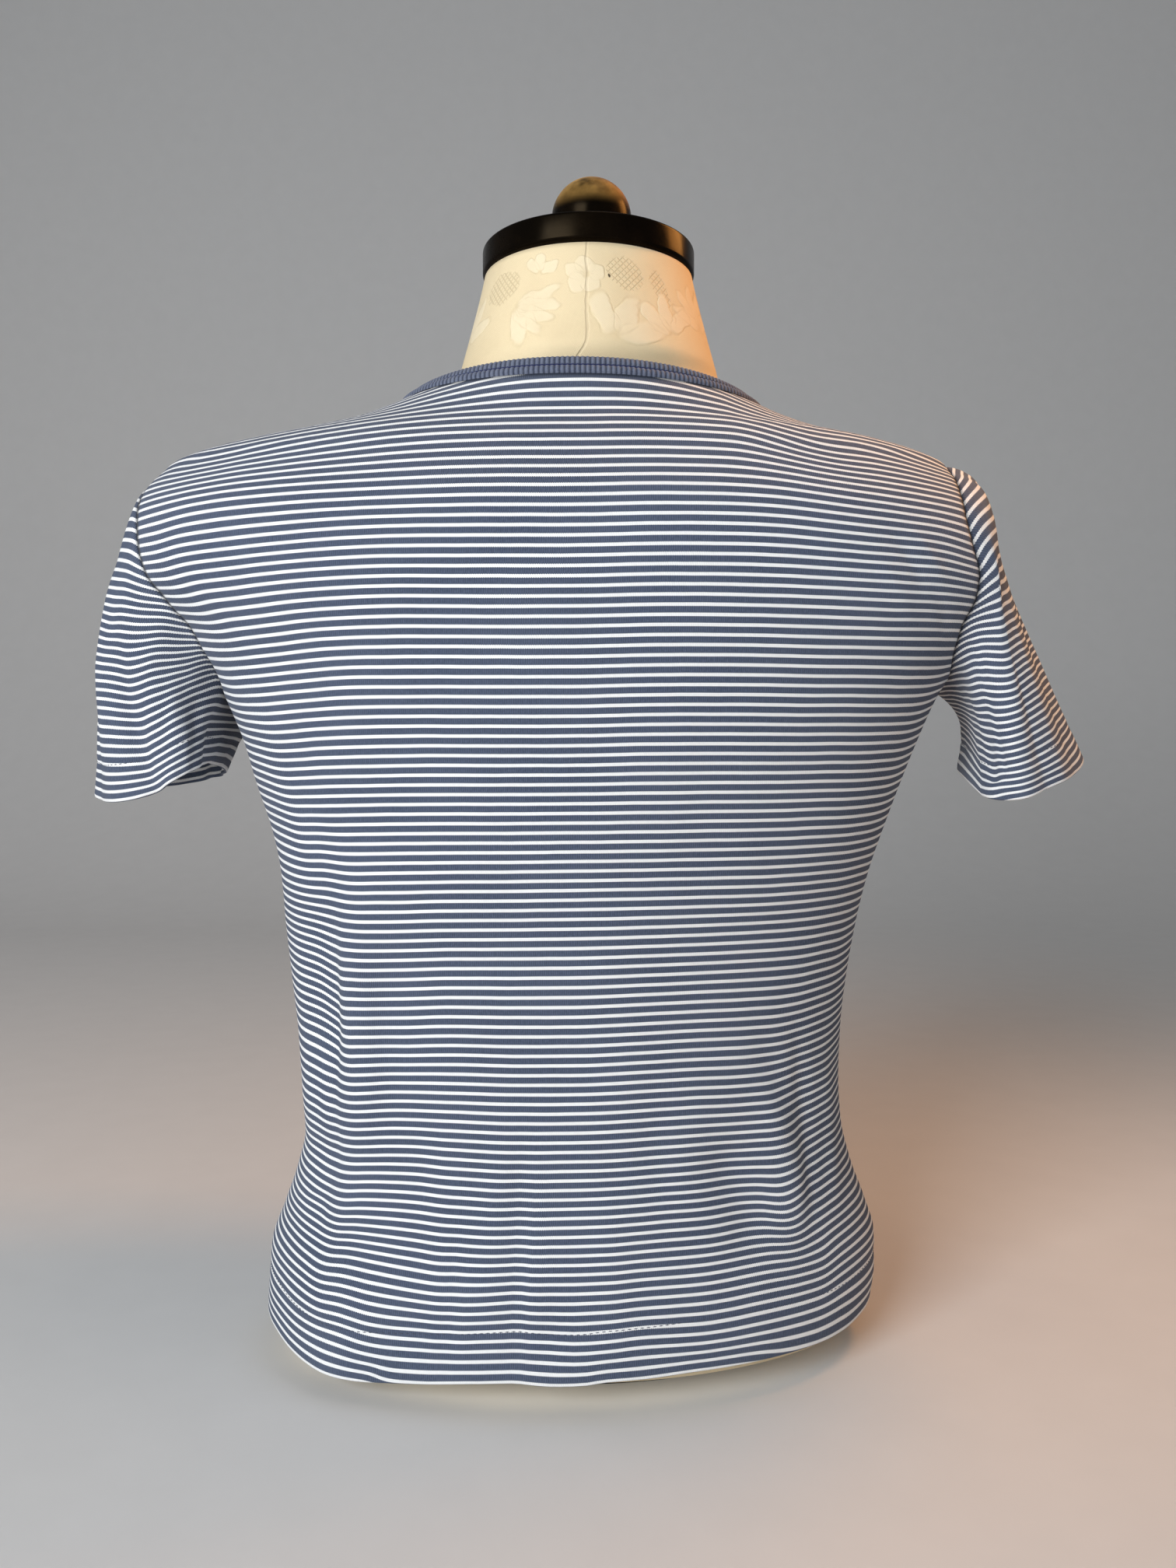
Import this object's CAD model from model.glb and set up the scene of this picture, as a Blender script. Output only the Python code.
"""Striped baby tee worn on a limbless dress form: cloth, trims, finishes and studio."""

import math

import bmesh
import bpy
import numpy as np
from mathutils import Matrix, Vector


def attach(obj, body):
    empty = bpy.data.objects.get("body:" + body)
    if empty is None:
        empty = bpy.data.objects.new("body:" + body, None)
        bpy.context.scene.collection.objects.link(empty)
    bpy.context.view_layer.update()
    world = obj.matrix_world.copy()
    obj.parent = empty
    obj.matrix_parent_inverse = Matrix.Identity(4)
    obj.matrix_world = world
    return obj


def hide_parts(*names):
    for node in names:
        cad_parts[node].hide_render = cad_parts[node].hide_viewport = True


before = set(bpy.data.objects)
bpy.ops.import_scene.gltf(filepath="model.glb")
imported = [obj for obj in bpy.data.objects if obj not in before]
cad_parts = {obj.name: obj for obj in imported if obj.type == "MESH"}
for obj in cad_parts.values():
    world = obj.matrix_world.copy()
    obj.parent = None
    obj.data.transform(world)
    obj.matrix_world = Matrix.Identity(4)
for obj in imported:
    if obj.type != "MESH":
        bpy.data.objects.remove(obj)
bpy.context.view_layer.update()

# ---------------------------------------------------------------- sizes, metres
KNIT = 0.0008               # thickness of one layer of the striped knit
TURN = 0.0009               # radius of the turned-up hem's fold
TURN_UP = 0.0015            # how far the turned-up layer reaches past its cover stitch
HEM_DEEP = 0.0205           # height of the body's hem up to its cover stitch
CUFF_DEEP = 0.0160          # the same on the sleeves
SEAM = 0.0003               # gap between two pieces at their seam
PITCH = 0.00407             # one white and one blue stripe together
WHITE = 0.35                # the white stripe's share of the pitch
RIB_WIDTH = 0.0090          # height of the neck band
ROLL_RISE = 0.0008          # how far the band's two rolls stand out
RIB_RISE = 0.00022          # how far its ribs stand out from the rolls
RIB_COUNT = 264             # ribs round the neck band
RIB_STEPS = 6               # cells across one rib
RIB_PITCH = 0.0021          # a rib in the band's own cut
COLUMNS = 144               # cells across the back and across the front
ROWS_LOW = 112              # rows from hem to underarm
ROWS_HIGH = 58              # rows from underarm to shoulder
RINGS = 60                  # rings down a sleeve
TOP_STEPS = 12              # steps of a sleeve's ring across the front's last course
NECK_HALF = 0.0885          # half width of the neckline
NECK_CENTRE = 0.003         # its middle, a little to the right of the body's
NECK_BACK_Z = 0.4421        # its lowest point on the back
NECK_FRONT_Z = 0.371        # the same on the front
NECK_SHARE = {-1: 0.5, 1: 9 / 14}   # neckline's share of each half panel's top row
SEAM_BEHIND = 0.011         # how far the shoulder seam lies behind the ridge
SHOULDER_OUT = 0.19         # half width at which it lies farthest behind
EDGE_MIX = 0.6              # how early the rows above the underarm turn to the shoulder
SPREAD = 0.85               # under 1 it moves the columns nearer to the sides
HEM_HALF = 0.14             # half width at which the outermost columns read the hem
STITCH_LONG = 0.0017        # one cover stitch on the hems
STITCH_GAP = 0.0010         # from its end to the next
STITCH_THICK = 0.00040      # across its thread
STITCH_RISE = 0.00004       # how far the thread's middle stands above the cloth
SHOULDER_FROM = 0.350       # height from which the front's courses follow the shoulder
SHOULDER_OVER = 0.040       # climb over which they change to it
SLEEVE_GIRTH = 0.27         # round a sleeve, for the width of its creases
SLEEVE_CUT = 0.285          # round a sleeve in its own cut
COURSE_SHIFT = 0.0007       # taken off the sleeves' cut heights, to place their stripes
FORM_GAP = 0.0052           # clear space between the cloth and the form
FORM_DROP = 0.0032          # how much lower the form's shoulders are than the cloth's
FORM_COLUMNS = 128          # cells round the form
NECK_X = 0.0062             # the form's neck, to the right of the body's middle
NECK_RADIUS = 0.0502        # of the form's neck under its cap
NECK_FLARE = 0.0118         # how much wider the neck is at its foot
NECK_TALL = 0.0469          # from the neck's foot to the cap
CAP_RADIUS = 0.0512
CAP_LOW, CAP_HIGH = 0.5064, 0.5196
KNOB_RADIUS = 0.0194
KNOB_X = NECK_X + 0.0015    # the knob stands a little off the cap's middle
KNOB_RUB = 0.5400           # height above which the knob's black is rubbed to bronze
PLATE_HEIGHT = 0.0112
PLATE_HALF = (0.102, 0.060)

# Sections of the worn cloth: height, half width on the wearer's left and right,
# depth behind and in front of the side seams, and the squareness of the curve.
SECTION = ("z", "left", "right", "back", "front", "square_left", "square_right")
SECTIONS = [
    (0.010, 0.1462, 0.1424, 0.0898, 0.1000, 2.30, 1.90),
    (0.018, 0.1462, 0.1420, 0.0900, 0.0998, 2.30, 1.90),
    (0.033, 0.1455, 0.1440, 0.0895, 0.0975, 2.30, 1.88),
    (0.048, 0.1445, 0.1440, 0.0880, 0.0950, 2.30, 1.85),
    (0.063, 0.1395, 0.1398, 0.0860, 0.0920, 2.15, 1.85),
    (0.083, 0.1325, 0.1325, 0.0835, 0.0890, 2.30, 1.85),
    (0.103, 0.1280, 0.1280, 0.0815, 0.0880, 2.55, 1.85),
    (0.123, 0.1285, 0.1270, 0.0810, 0.0880, 2.75, 1.85),
    (0.148, 0.1300, 0.1280, 0.0820, 0.0905, 2.85, 1.85),
    (0.173, 0.1330, 0.1310, 0.0845, 0.0960, 2.85, 1.85),
    (0.198, 0.1360, 0.1355, 0.0880, 0.1030, 2.80, 1.85),
    (0.223, 0.1385, 0.1415, 0.0920, 0.1115, 2.70, 1.95),
    (0.243, 0.1440, 0.1480, 0.0955, 0.1185, 2.40, 2.05),
    (0.263, 0.1510, 0.1550, 0.0985, 0.1235, 2.35, 2.15),
    (0.283, 0.1570, 0.1625, 0.1015, 0.1265, 2.35, 2.25),
    (0.303, 0.1655, 0.1710, 0.1040, 0.1250, 2.35, 2.35),
    (0.314, 0.1710, 0.1780, 0.1050, 0.1220, 2.35, 2.35),
    (0.324, 0.1790, 0.1840, 0.1060, 0.1180, 2.35, 2.35),
    (0.334, 0.1885, 0.1920, 0.1068, 0.1130, 2.35, 2.35),
    (0.345, 0.2030, 0.2010, 0.1070, 0.1075, 2.35, 2.35),
    (0.356, 0.2135, 0.2045, 0.1068, 0.1020, 2.35, 2.35),
    (0.368, 0.2180, 0.2040, 0.1055, 0.0950, 2.35, 2.35),
    (0.384, 0.2165, 0.1990, 0.1010, 0.0835, 2.35, 2.35),
    (0.395, 0.2110, 0.1930, 0.0950, 0.0740, 2.30, 2.30),
    (0.403, 0.2035, 0.1870, 0.0900, 0.0685, 2.25, 2.25),
    (0.408, 0.1985, 0.1820, 0.0870, 0.0655, 2.20, 2.20),
    (0.412, 0.1945, 0.1780, 0.0845, 0.0640, 2.20, 2.20),
    (0.416, 0.1860, 0.1705, 0.0815, 0.0620, 2.15, 2.15),
    (0.420, 0.1700, 0.1570, 0.0785, 0.0602, 2.15, 2.15),
    (0.425, 0.1450, 0.1325, 0.0745, 0.0590, 2.10, 2.10),
    (0.430, 0.1190, 0.1150, 0.0720, 0.0580, 2.10, 2.10),
    (0.435, 0.1030, 0.1015, 0.0700, 0.0572, 2.10, 2.10),
    (0.440, 0.0905, 0.0915, 0.0680, 0.0565, 2.05, 2.05),
    (0.446, 0.0800, 0.0835, 0.0655, 0.0558, 2.05, 2.05),
    (0.453, 0.0710, 0.0775, 0.0625, 0.0550, 2.00, 2.00),
    (0.461, 0.0620, 0.0720, 0.0595, 0.0540, 2.00, 2.00),
    (0.468, 0.0575, 0.0700, 0.0580, 0.0530, 2.00, 2.00),
    (0.485, 0.0490, 0.0630, 0.0545, 0.0515, 2.00, 2.00),
    (0.507, 0.0420, 0.0580, 0.0500, 0.0500, 2.00, 2.00),
]

# Armholes: height and the half width of the back and of the front at the seam.
ARMHOLE = ("z", "back", "front")
ARMHOLE_LEFT = [
    (0.3000, 0.1640, 0.1640),
    (0.3060, 0.1625, 0.1600),
    (0.3160, 0.1645, 0.1575),
    (0.3326, 0.1722, 0.1590),
    (0.3450, 0.1812, 0.1635),
    (0.3560, 0.1890, 0.1690),
    (0.3680, 0.1925, 0.1745),
    (0.3844, 0.1953, 0.1815),
    (0.3960, 0.1966, 0.1870),
    (0.4030, 0.1958, 0.1900),
    (0.4090, 0.1940, 0.1915),
    (0.4130, 0.1920, 0.1920),
]
ARMHOLE_RIGHT = [
    (0.3100, 0.1750, 0.1750),
    (0.3150, 0.1725, 0.1722),
    (0.3220, 0.1710, 0.1703),
    (0.3315, 0.1715, 0.1688),
    (0.3456, 0.1770, 0.1672),
    (0.3556, 0.1780, 0.1664),
    (0.3680, 0.1745, 0.1655),
    (0.3836, 0.1722, 0.1660),
    (0.4000, 0.1730, 0.1680),
    (0.4060, 0.1732, 0.1700),
    (0.4100, 0.1730, 0.1715),
    (0.4140, 0.1725, 0.1725),
]

# The body's hem: x and height on the back and on the front.
HEM_BACK_POINTS = [
    (-0.1420, 0.0184), (-0.1310, 0.0170), (-0.1200, 0.0138), (-0.1100, 0.0121),
    (-0.0990, 0.0110), (-0.0900, 0.0109), (-0.0780, 0.0114), (-0.0600, 0.0125),
    (-0.0400, 0.0143), (-0.0230, 0.0152), (-0.0080, 0.0142), (0.0030, 0.0145),
    (0.0140, 0.0159), (0.0300, 0.0164), (0.0520, 0.0172), (0.0850, 0.0171),
    (0.1100, 0.0169), (0.1200, 0.0174), (0.1310, 0.0190), (0.1420, 0.0200),
]
HEM_FRONT_POINTS = [
    (-0.1420, 0.0184), (-0.1150, 0.0164), (-0.0700, 0.0150), (0.0000, 0.0148),
    (0.0700, 0.0154), (0.1150, 0.0174), (0.1420, 0.0200),
]

# Sleeve hems: place round the opening as a share from the shoulder (0) over the
# back (0.25), the underarm (0.5) and the front (0.75), with the point's x, y, z.
HEM_LEFT = [
    (0.00, -0.2298, -0.004, 0.2590),
    (0.10, -0.2170, -0.034, 0.2560),
    (0.20, -0.1960, -0.054, 0.2575),
    (0.30, -0.1780, -0.058, 0.2650),
    (0.40, -0.1675, -0.044, 0.2725),
    (0.50, -0.1705, -0.010, 0.2720),
    (0.60, -0.1755, 0.022, 0.2690),
    (0.72, -0.1860, 0.044, 0.2655),
    (0.84, -0.2050, 0.044, 0.2625),
    (0.93, -0.2220, 0.024, 0.2600),
]
HEM_RIGHT = [
    (0.00, 0.2440, 0.000, 0.2770),
    (0.08, 0.2350, -0.028, 0.2705),
    (0.18, 0.2170, -0.047, 0.2640),
    (0.28, 0.1990, -0.053, 0.2578),
    (0.38, 0.1865, -0.045, 0.2575),
    (0.50, 0.1870, -0.012, 0.2645),
    (0.62, 0.1932, 0.026, 0.2690),
    (0.74, 0.2065, 0.046, 0.2690),
    (0.86, 0.2240, 0.044, 0.2710),
    (0.94, 0.2375, 0.024, 0.2745),
]

# Creases on the body: panel (-1 back, 1 front), both ends as x and z, half width,
# rise (a trough where it is negative) and how far the middle bows to the right.
CREASE = ("side", "x0", "z0", "x1", "z1", "width", "rise", "bow")
CREASES = [
    (-1, -0.109, 0.235, -0.107, 0.120, 0.0075, -0.0036, 0.0),
    (-1, -0.094, 0.228, -0.092, 0.085, 0.0100, 0.0036, 0.0),
    (-1, -0.106, 0.120, -0.118, 0.055, 0.0070, -0.0024, 0.0),
    (-1, -0.121, 0.215, -0.119, 0.080, 0.0065, 0.0016, 0.0),
    (-1, -0.100, 0.060, -0.104, -0.020, 0.0220, 0.0045, 0.0),
    (-1, 0.058, 0.122, 0.086, 0.050, 0.0110, -0.0024, 0.0),
    (-1, 0.084, 0.138, 0.103, 0.056, 0.0090, 0.0030, 0.0),
    (-1, -0.046, 0.060, -0.052, 0.016, 0.0120, 0.0012, 0.0),
    (-1, -0.012, 0.045, -0.016, 0.014, 0.0100, -0.0012, 0.0),
    (1, -0.100, 0.225, -0.092, 0.090, 0.0080, -0.0020, 0.0),
    (1, 0.104, 0.210, 0.098, 0.080, 0.0080, -0.0020, 0.0),
    (1, 0.060, 0.100, 0.086, 0.035, 0.0110, 0.0016, 0.0),
    (1, -0.040, 0.062, -0.046, 0.016, 0.0120, 0.0014, 0.0),
]
# Finer creases that only the cloth shows, in the same columns.
FINE_CREASES = [
    (-1, -0.1040, 0.220, -0.1065, 0.080, 0.0030, -0.0012, 0.0),
    (-1, -0.1160, 0.190, -0.1150, 0.090, 0.0030, -0.0008, 0.0),
    (-1, -0.0215, 0.135, -0.0250, 0.000, 0.0040, -0.0009, 0.0),
    (-1, -0.0150, 0.105, -0.0175, 0.000, 0.0040, 0.0005, 0.0),
    (-1, -0.0500, 0.090, -0.0560, 0.010, 0.0042, -0.0008, 0.002),
    (-1, 0.0980, 0.165, 0.1060, 0.050, 0.0042, -0.0016, 0.002),
    (-1, 0.1130, 0.150, 0.1200, 0.060, 0.0040, 0.0010, 0.002),
    (-1, 0.130, 0.372, 0.152, 0.338, 0.0030, -0.0008, 0.002),
    (-1, 0.140, 0.374, 0.160, 0.345, 0.0028, 0.0006, 0.002),
    (-1, 0.122, 0.362, 0.146, 0.328, 0.0030, 0.0006, 0.002),
    (-1, 0.150, 0.352, 0.164, 0.326, 0.0026, -0.0006, 0.001),
    (-1, -0.186, 0.352, -0.170, 0.340, 0.0028, -0.0006, 0.0),
    (-1, -0.178, 0.340, -0.162, 0.326, 0.0028, -0.0007, 0.0),
    (-1, -0.172, 0.330, -0.154, 0.312, 0.0030, 0.0005, 0.0),
    (-1, -0.068, 0.140, -0.072, 0.030, 0.0070, -0.0007, 0.004),
    (-1, -0.030, 0.118, -0.036, 0.022, 0.0060, 0.0006, -0.003),
    (-1, 0.012, 0.096, 0.016, 0.014, 0.0070, 0.0006, 0.003),
    (-1, 0.034, 0.150, 0.044, 0.060, 0.0080, -0.0006, -0.004),
    (-1, 0.074, 0.164, 0.102, 0.094, 0.0060, -0.0009, 0.004),
    (-1, -0.094, 0.204, -0.088, 0.110, 0.0050, 0.0007, 0.003),
    (-1, -0.026, 0.300, -0.030, 0.190, 0.0110, -0.0005, 0.004),
    (-1, 0.062, 0.310, 0.056, 0.205, 0.0120, -0.0005, -0.004),
    (1, -0.132, 0.372, -0.118, 0.330, 0.0040, -0.0010, 0.003),
    (1, -0.144, 0.352, -0.126, 0.312, 0.0040, -0.0012, 0.003),
    (1, -0.150, 0.332, -0.128, 0.294, 0.0045, 0.0009, 0.003),
    (1, 0.134, 0.374, 0.120, 0.332, 0.0040, -0.0010, -0.003),
    (1, 0.148, 0.350, 0.130, 0.312, 0.0040, -0.0012, -0.003),
    (1, 0.152, 0.334, 0.132, 0.298, 0.0045, 0.0009, -0.003),
    (1, -0.070, 0.235, -0.058, 0.120, 0.0090, -0.0009, 0.005),
    (1, 0.074, 0.240, 0.060, 0.116, 0.0090, -0.0009, -0.005),
    (1, 0.010, 0.140, 0.016, 0.030, 0.0080, 0.0008, 0.004),
    (1, -0.112, 0.120, -0.122, 0.050, 0.0070, 0.0014, 0.003),
    (1, 0.112, 0.126, 0.124, 0.052, 0.0070, 0.0014, -0.003),
    (1, 0.034, 0.110, 0.040, 0.024, 0.0070, -0.0008, 0.003),
]

# Creases on the sleeves: place round, share down the sleeve at both ends, the half
# width round the sleeve and the rise.
SLEEVE_CREASE = ("round0", "down0", "round1", "down1", "width", "rise")
SLEEVE_CREASES_LEFT = [
    (0.17, 0.34, 0.26, 1.05, 0.0085, -0.0044),
    (0.11, 0.30, 0.16, 1.05, 0.0090, 0.0024),
    (0.31, 0.45, 0.36, 1.05, 0.0080, 0.0028),
    (0.40, 0.25, 0.43, 1.00, 0.0070, -0.0030),
    (0.70, 0.35, 0.74, 1.05, 0.0085, -0.0024),
]
SLEEVE_CREASES_RIGHT = [
    (0.33, 0.30, 0.36, 0.85, 0.0095, -0.0024),
    (0.25, 0.42, 0.27, 1.05, 0.0090, 0.0018),
    (0.42, 0.40, 0.44, 1.05, 0.0070, 0.0016),
    (0.06, 0.40, 0.10, 1.00, 0.0085, -0.0018),
    (0.72, 0.35, 0.75, 1.05, 0.0085, -0.0024),
]

# Finer creases that only the sleeves' cloth shows, in the same columns.
FINE_SLEEVE_LEFT = [
    (0.33, 0.30, 0.36, 1.05, 0.0042, -0.0016),
    (0.28, 0.25, 0.31, 1.00, 0.0038, 0.0009),
    (0.06, 0.30, 0.08, 1.05, 0.0050, -0.0009),
    (0.43, 0.15, 0.45, 0.95, 0.0036, 0.0010),
    (0.62, 0.20, 0.66, 1.00, 0.0045, -0.0010),
    (0.84, 0.30, 0.86, 1.05, 0.0050, -0.0012),
]
FINE_SLEEVE_RIGHT = [
    (0.29, 0.20, 0.31, 0.80, 0.0038, -0.0012),
    (0.39, 0.15, 0.40, 0.90, 0.0036, -0.0010),
    (0.20, 0.35, 0.21, 1.05, 0.0046, -0.0010),
    (0.14, 0.30, 0.16, 1.00, 0.0046, 0.0007),
    (0.60, 0.20, 0.64, 1.00, 0.0045, -0.0010),
    (0.84, 0.30, 0.86, 1.05, 0.0050, -0.0012),
]

# How far the top of each sleeve stands out from the straight line between the
# shoulder and the sleeve's hem: share down the sleeve, then left and right.
HEAD = ("down", "left", "right")
HEADS = [
    (0.00, 0.0000, 0.0000),
    (0.06, 0.0005, 0.0055),
    (0.13, 0.0008, 0.0085),
    (0.20, 0.0015, 0.0075),
    (0.30, 0.0030, 0.0030),
    (0.40, 0.0060, -0.0005),
    (0.55, 0.0070, -0.0022),
    (0.75, 0.0035, -0.0018),
    (0.90, 0.0008, -0.0006),
    (1.00, 0.0000, 0.0000),
]

# How far the knitted stripes lie above their level height on the back, in mm: rows
# by height, columns by the share of the half width from -1 (left) to 1 (right).
# A separate program fitted these values, and those of the sleeves below, to the
# stripes in the photo. They were not set by hand.
DRAG_SHARES = [-1, -0.92, -0.84, -0.77, -0.7, -0.6, -0.4, -0.2, 0,
               0.2, 0.4, 0.6, 0.7, 0.77, 0.84, 0.92, 1]
STRIPE_DRAG = [
    (0.012, -21.7, -19.7, -17.3, -15.8, -14.5, -13.5, -13.4, -15.3, -14.9,
     -16.8, -16.2, -14.7, -13.9, -13.2, -13.1, -13.4, -14.3),
    (0.030, -21.4, -19.9, -17.6, -17.0, -16.9, -14.6, -14.4, -15.8, -15.1,
     -16.8, -15.8, -15.9, -15.7, -15.7, -16.6, -17.8, -19.0),
    (0.050, -21.9, -19.4, -16.4, -14.2, -15.1, -14.3, -12.9, -14.6, -14.7,
     -15.9, -15.6, -16.2, -15.5, -15.8, -18.6, -20.5, -21.5),
    (0.075, -13.9, -11.0, -8.0, -8.1, -10.3, -11.9, -11.7, -12.2, -12.8,
     -13.6, -13.5, -12.5, -10.6, -13.7, -16.0, -18.5, -20.0),
    (0.100, -11.0, -9.3, -6.9, -7.8, -9.5, -11.1, -11.2, -10.7, -11.1,
     -11.6, -11.6, -10.3, -10.0, -10.9, -13.6, -16.2, -18.0),
    (0.130, -13.1, -10.8, -8.7, -8.0, -9.1, -10.1, -10.9, -10.6, -10.8,
     -11.3, -11.3, -9.9, -9.7, -11.0, -12.4, -14.5, -19.4),
    (0.160, -19.0, -16.0, -13.0, -8.7, -9.3, -9.6, -11.1, -11.1, -11.3,
     -12.0, -12.0, -11.0, -10.5, -10.8, -11.7, -13.0, -16.2),
    (0.190, -19.0, -16.5, -13.9, -10.3, -10.1, -10.2, -11.6, -12.0, -12.3,
     -12.8, -12.8, -12.4, -12.1, -12.0, -12.4, -12.9, -15.4),
    (0.220, -15.0, -12.4, -11.2, -11.2, -10.3, -10.7, -11.8, -12.2, -12.7,
     -13.0, -13.0, -12.7, -12.8, -13.0, -13.1, -13.8, -14.4),
    (0.250, -16.3, -13.3, -10.3, -10.4, -10.6, -11.1, -11.8, -12.0, -12.3,
     -12.6, -12.8, -12.9, -13.1, -13.1, -13.4, -14.5, -17.4),
    (0.280, -15.7, -12.1, -9.7, -9.8, -10.5, -11.0, -11.5, -11.4, -11.5,
     -12.2, -12.4, -12.4, -12.7, -12.8, -13.3, -14.6, -18.8),
    (0.310, -14.1, -9.8, -9.2, -9.5, -10.1, -11.1, -11.2, -10.9, -10.9,
     -11.7, -12.0, -12.0, -12.4, -12.6, -13.0, -14.6, -19.5),
    (0.340, -13.8, -10.8, -7.8, -8.4, -8.9, -10.2, -11.3, -10.7, -10.7,
     -11.6, -11.6, -11.4, -11.5, -12.1, -12.6, -13.1, -13.5),
    (0.365, -12.0, -7.3, -6.0, -7.7, -8.4, -9.4, -11.1, -11.1, -11.0,
     -11.9, -11.9, -9.9, -9.4, -8.9, -6.7, -3.7, -0.7),
    (0.390, -4.1, -5.3, -6.8, -8.3, -9.6, -10.5, -11.6, -12.6, -12.7,
     -13.4, -12.7, -8.0, -6.3, -5.2, -4.2, -2.1, 0.9),
    (0.410, -5.1, -4.0, -1.9, -2.4, -4.5, -7.5, -12.1, -14.7, -15.5,
     -15.6, -13.3, -2.9, -1.7, 0.5, 4.0, 7.0, 10.0),
    (0.430, 0.4, -1.4, -3.1, -4.7, -6.4, -8.7, -13.9, -18.9, -20.1,
     -18.5, -16.3, -10.4, -8.3, -6.7, -5.3, -3.7, -2.1),
    (0.445, -4.1, -5.5, -6.9, -8.1, -9.3, -11.0, -14.2, -16.3, -18.0,
     -19.0, -17.8, -17.1, -16.2, -15.5, -14.8, -13.9, -13.0),
]

# The same on the sleeves: rows by the height above the sleeve's hem, columns by the
# place round the sleeve. The hidden front passes evenly between the end columns.
SLEEVE_DRAG_SHARES = [-0.06, 0, 0.05, 0.1, 0.15, 0.2, 0.25, 0.3, 0.35, 0.4, 0.45, 0.5]
SLEEVE_DRAG_LEFT = [
    (0.000, -2.0, -2.6, -3.1, -3.3, -3.2, -3.2, -3.2, -2.3, -2.9, -3.6, -4.2, -4.8),
    (0.010, -1.9, -2.6, -3.1, -3.5, -3.0, -2.3, -1.6, -1.9, -3.7, -5.2, -8.0, -10.6),
    (0.022, -2.3, -3.0, -3.7, -4.3, -3.6, -2.0, -0.5, -2.4, -5.2, -7.6, -10.3, -12.9),
    (0.035, -3.8, -4.3, -4.8, -5.2, -4.1, -1.8, -0.3, -3.2, -7.4, -10.2, -12.7, -15.2),
    (0.050, -6.3, -6.0, -5.6, -5.4, -4.3, -1.1, -0.5, -1.8, -9.2, -13.1, -15.6, -18.1),
    (0.065, -8.0, -6.2, -4.9, -5.5, -3.4, -0.5, 1.0, 3.4, -2.5, -6.2, -8.7, -11.2),
    (0.080, -7.8, -5.2, -3.7, -4.9, -2.0, -0.0, 5.2, 12.8, 14.5, 13.0, 10.7, 8.3),
    (0.095, -7.0, -4.8, -3.4, -3.6, -1.5, 2.4, 10.5, 17.7, 21.3, 22.1, 21.1, 19.5),
    (0.110, -7.5, -5.8, -4.5, -4.3, -2.1, 3.0, 10.8, 16.5, 20.0, 22.0, 22.7, 22.8),
    (0.125, -7.6, -7.1, -6.5, -6.2, -4.7, -1.4, 3.4, 8.1, 12.0, 14.7, 16.9, 19.0),
    (0.145, -6.6, -8.4, -9.7, -10.1, -9.8, -8.4, -6.1, -3.0, 0.4, 3.1, 5.6, 8.1),
]
SLEEVE_DRAG_RIGHT = [
    (0.000, -1.9, -2.8, -3.7, -4.6, -3.4, -2.2, -2.1, -1.8, -1.2, -0.3, 1.0, 1.3),
    (0.010, 0.4, -1.3, -2.4, -2.2, -0.6, 1.0, 0.9, 1.0, 0.9, 0.9, 0.1, -2.8),
    (0.022, 3.7, 1.9, 0.5, 0.2, 2.0, 3.5, 4.1, 4.3, 3.0, 1.0, -1.2, -3.9),
    (0.035, 7.8, 6.1, 4.3, 2.9, 4.5, 6.3, 7.4, 6.9, 4.0, 1.9, 0.1, -2.4),
    (0.050, 10.7, 8.8, 7.3, 6.7, 7.9, 10.1, 11.0, 8.7, 6.6, 6.9, 7.2, 5.2),
    (0.065, 12.1, 11.9, 11.5, 11.3, 12.3, 13.6, 13.4, 10.3, 10.1, 10.1, 9.5, 9.0),
    (0.080, 10.3, 11.2, 12.0, 12.8, 14.1, 14.9, 14.9, 13.9, 15.2, 16.8, 17.9, 17.9),
    (0.095, 6.7, 8.5, 10.0, 11.4, 12.3, 13.0, 14.7, 17.5, 20.4, 22.3, 23.1, 23.2),
    (0.110, 2.8, 4.2, 5.4, 6.6, 7.8, 9.5, 12.6, 16.5, 19.5, 21.3, 22.5, 23.2),
    (0.125, -1.3, 0.1, 1.4, 2.8, 4.5, 6.6, 9.1, 11.7, 13.8, 15.5, 17.0, 18.4),
    (0.145, -5.3, -3.7, -2.2, -0.8, 0.6, 2.0, 3.2, 4.4, 5.5, 6.6, 7.8, 8.9),
]

# Profile of the neck band from its seam over both rolls and down the plain inside:
# share of the band's height, outward place in shares of the roll's rise.
BAND_PROFILE = [
    (0.00, -0.55), (0.05, 0.20), (0.12, 0.75), (0.20, 1.02), (0.29, 1.02), (0.37, 0.72),
    (0.43, 0.20), (0.465, -0.45), (0.50, 0.20), (0.57, 0.72), (0.66, 1.02), (0.76, 1.02),
    (0.86, 0.80), (0.94, 0.30), (0.99, -0.35), (1.00, -0.95), (0.96, -1.40), (0.86, -1.60),
    (0.60, -1.62), (0.30, -1.62), (0.06, -1.62),
]
BAND_MIDDLE = sum(
    math.hypot(RIB_WIDTH * (b[0] - a[0]), ROLL_RISE * (b[1] - a[1]))
    for a, b in zip(BAND_PROFILE[:7], BAND_PROFILE[1:8])
)


# ---------------------------------------------------------------- curves
def smooth_table(places, values):
    """Slopes of a curve through the values that never overshoots them."""
    places = np.asarray(places, float)
    values = np.asarray(values, float)
    steps = np.diff(places)
    rises = np.diff(values) / steps
    slopes = np.zeros_like(values)
    for i in range(1, len(values) - 1):
        if rises[i - 1] * rises[i] > 0:
            a = 2 * steps[i] + steps[i - 1]
            b = steps[i] + 2 * steps[i - 1]
            slopes[i] = (a + b) / (a / rises[i - 1] + b / rises[i])
    slopes[0] = rises[0]
    slopes[-1] = rises[-1]
    return places, values, slopes


def step_at(places, at):
    """The step that each point falls in, its length and the share walked along it."""
    i = np.clip(np.searchsorted(places, at, side="right") - 1, 0, len(places) - 2)
    step = places[i + 1] - places[i]
    return i, step, (at - places[i]) / step


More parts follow.
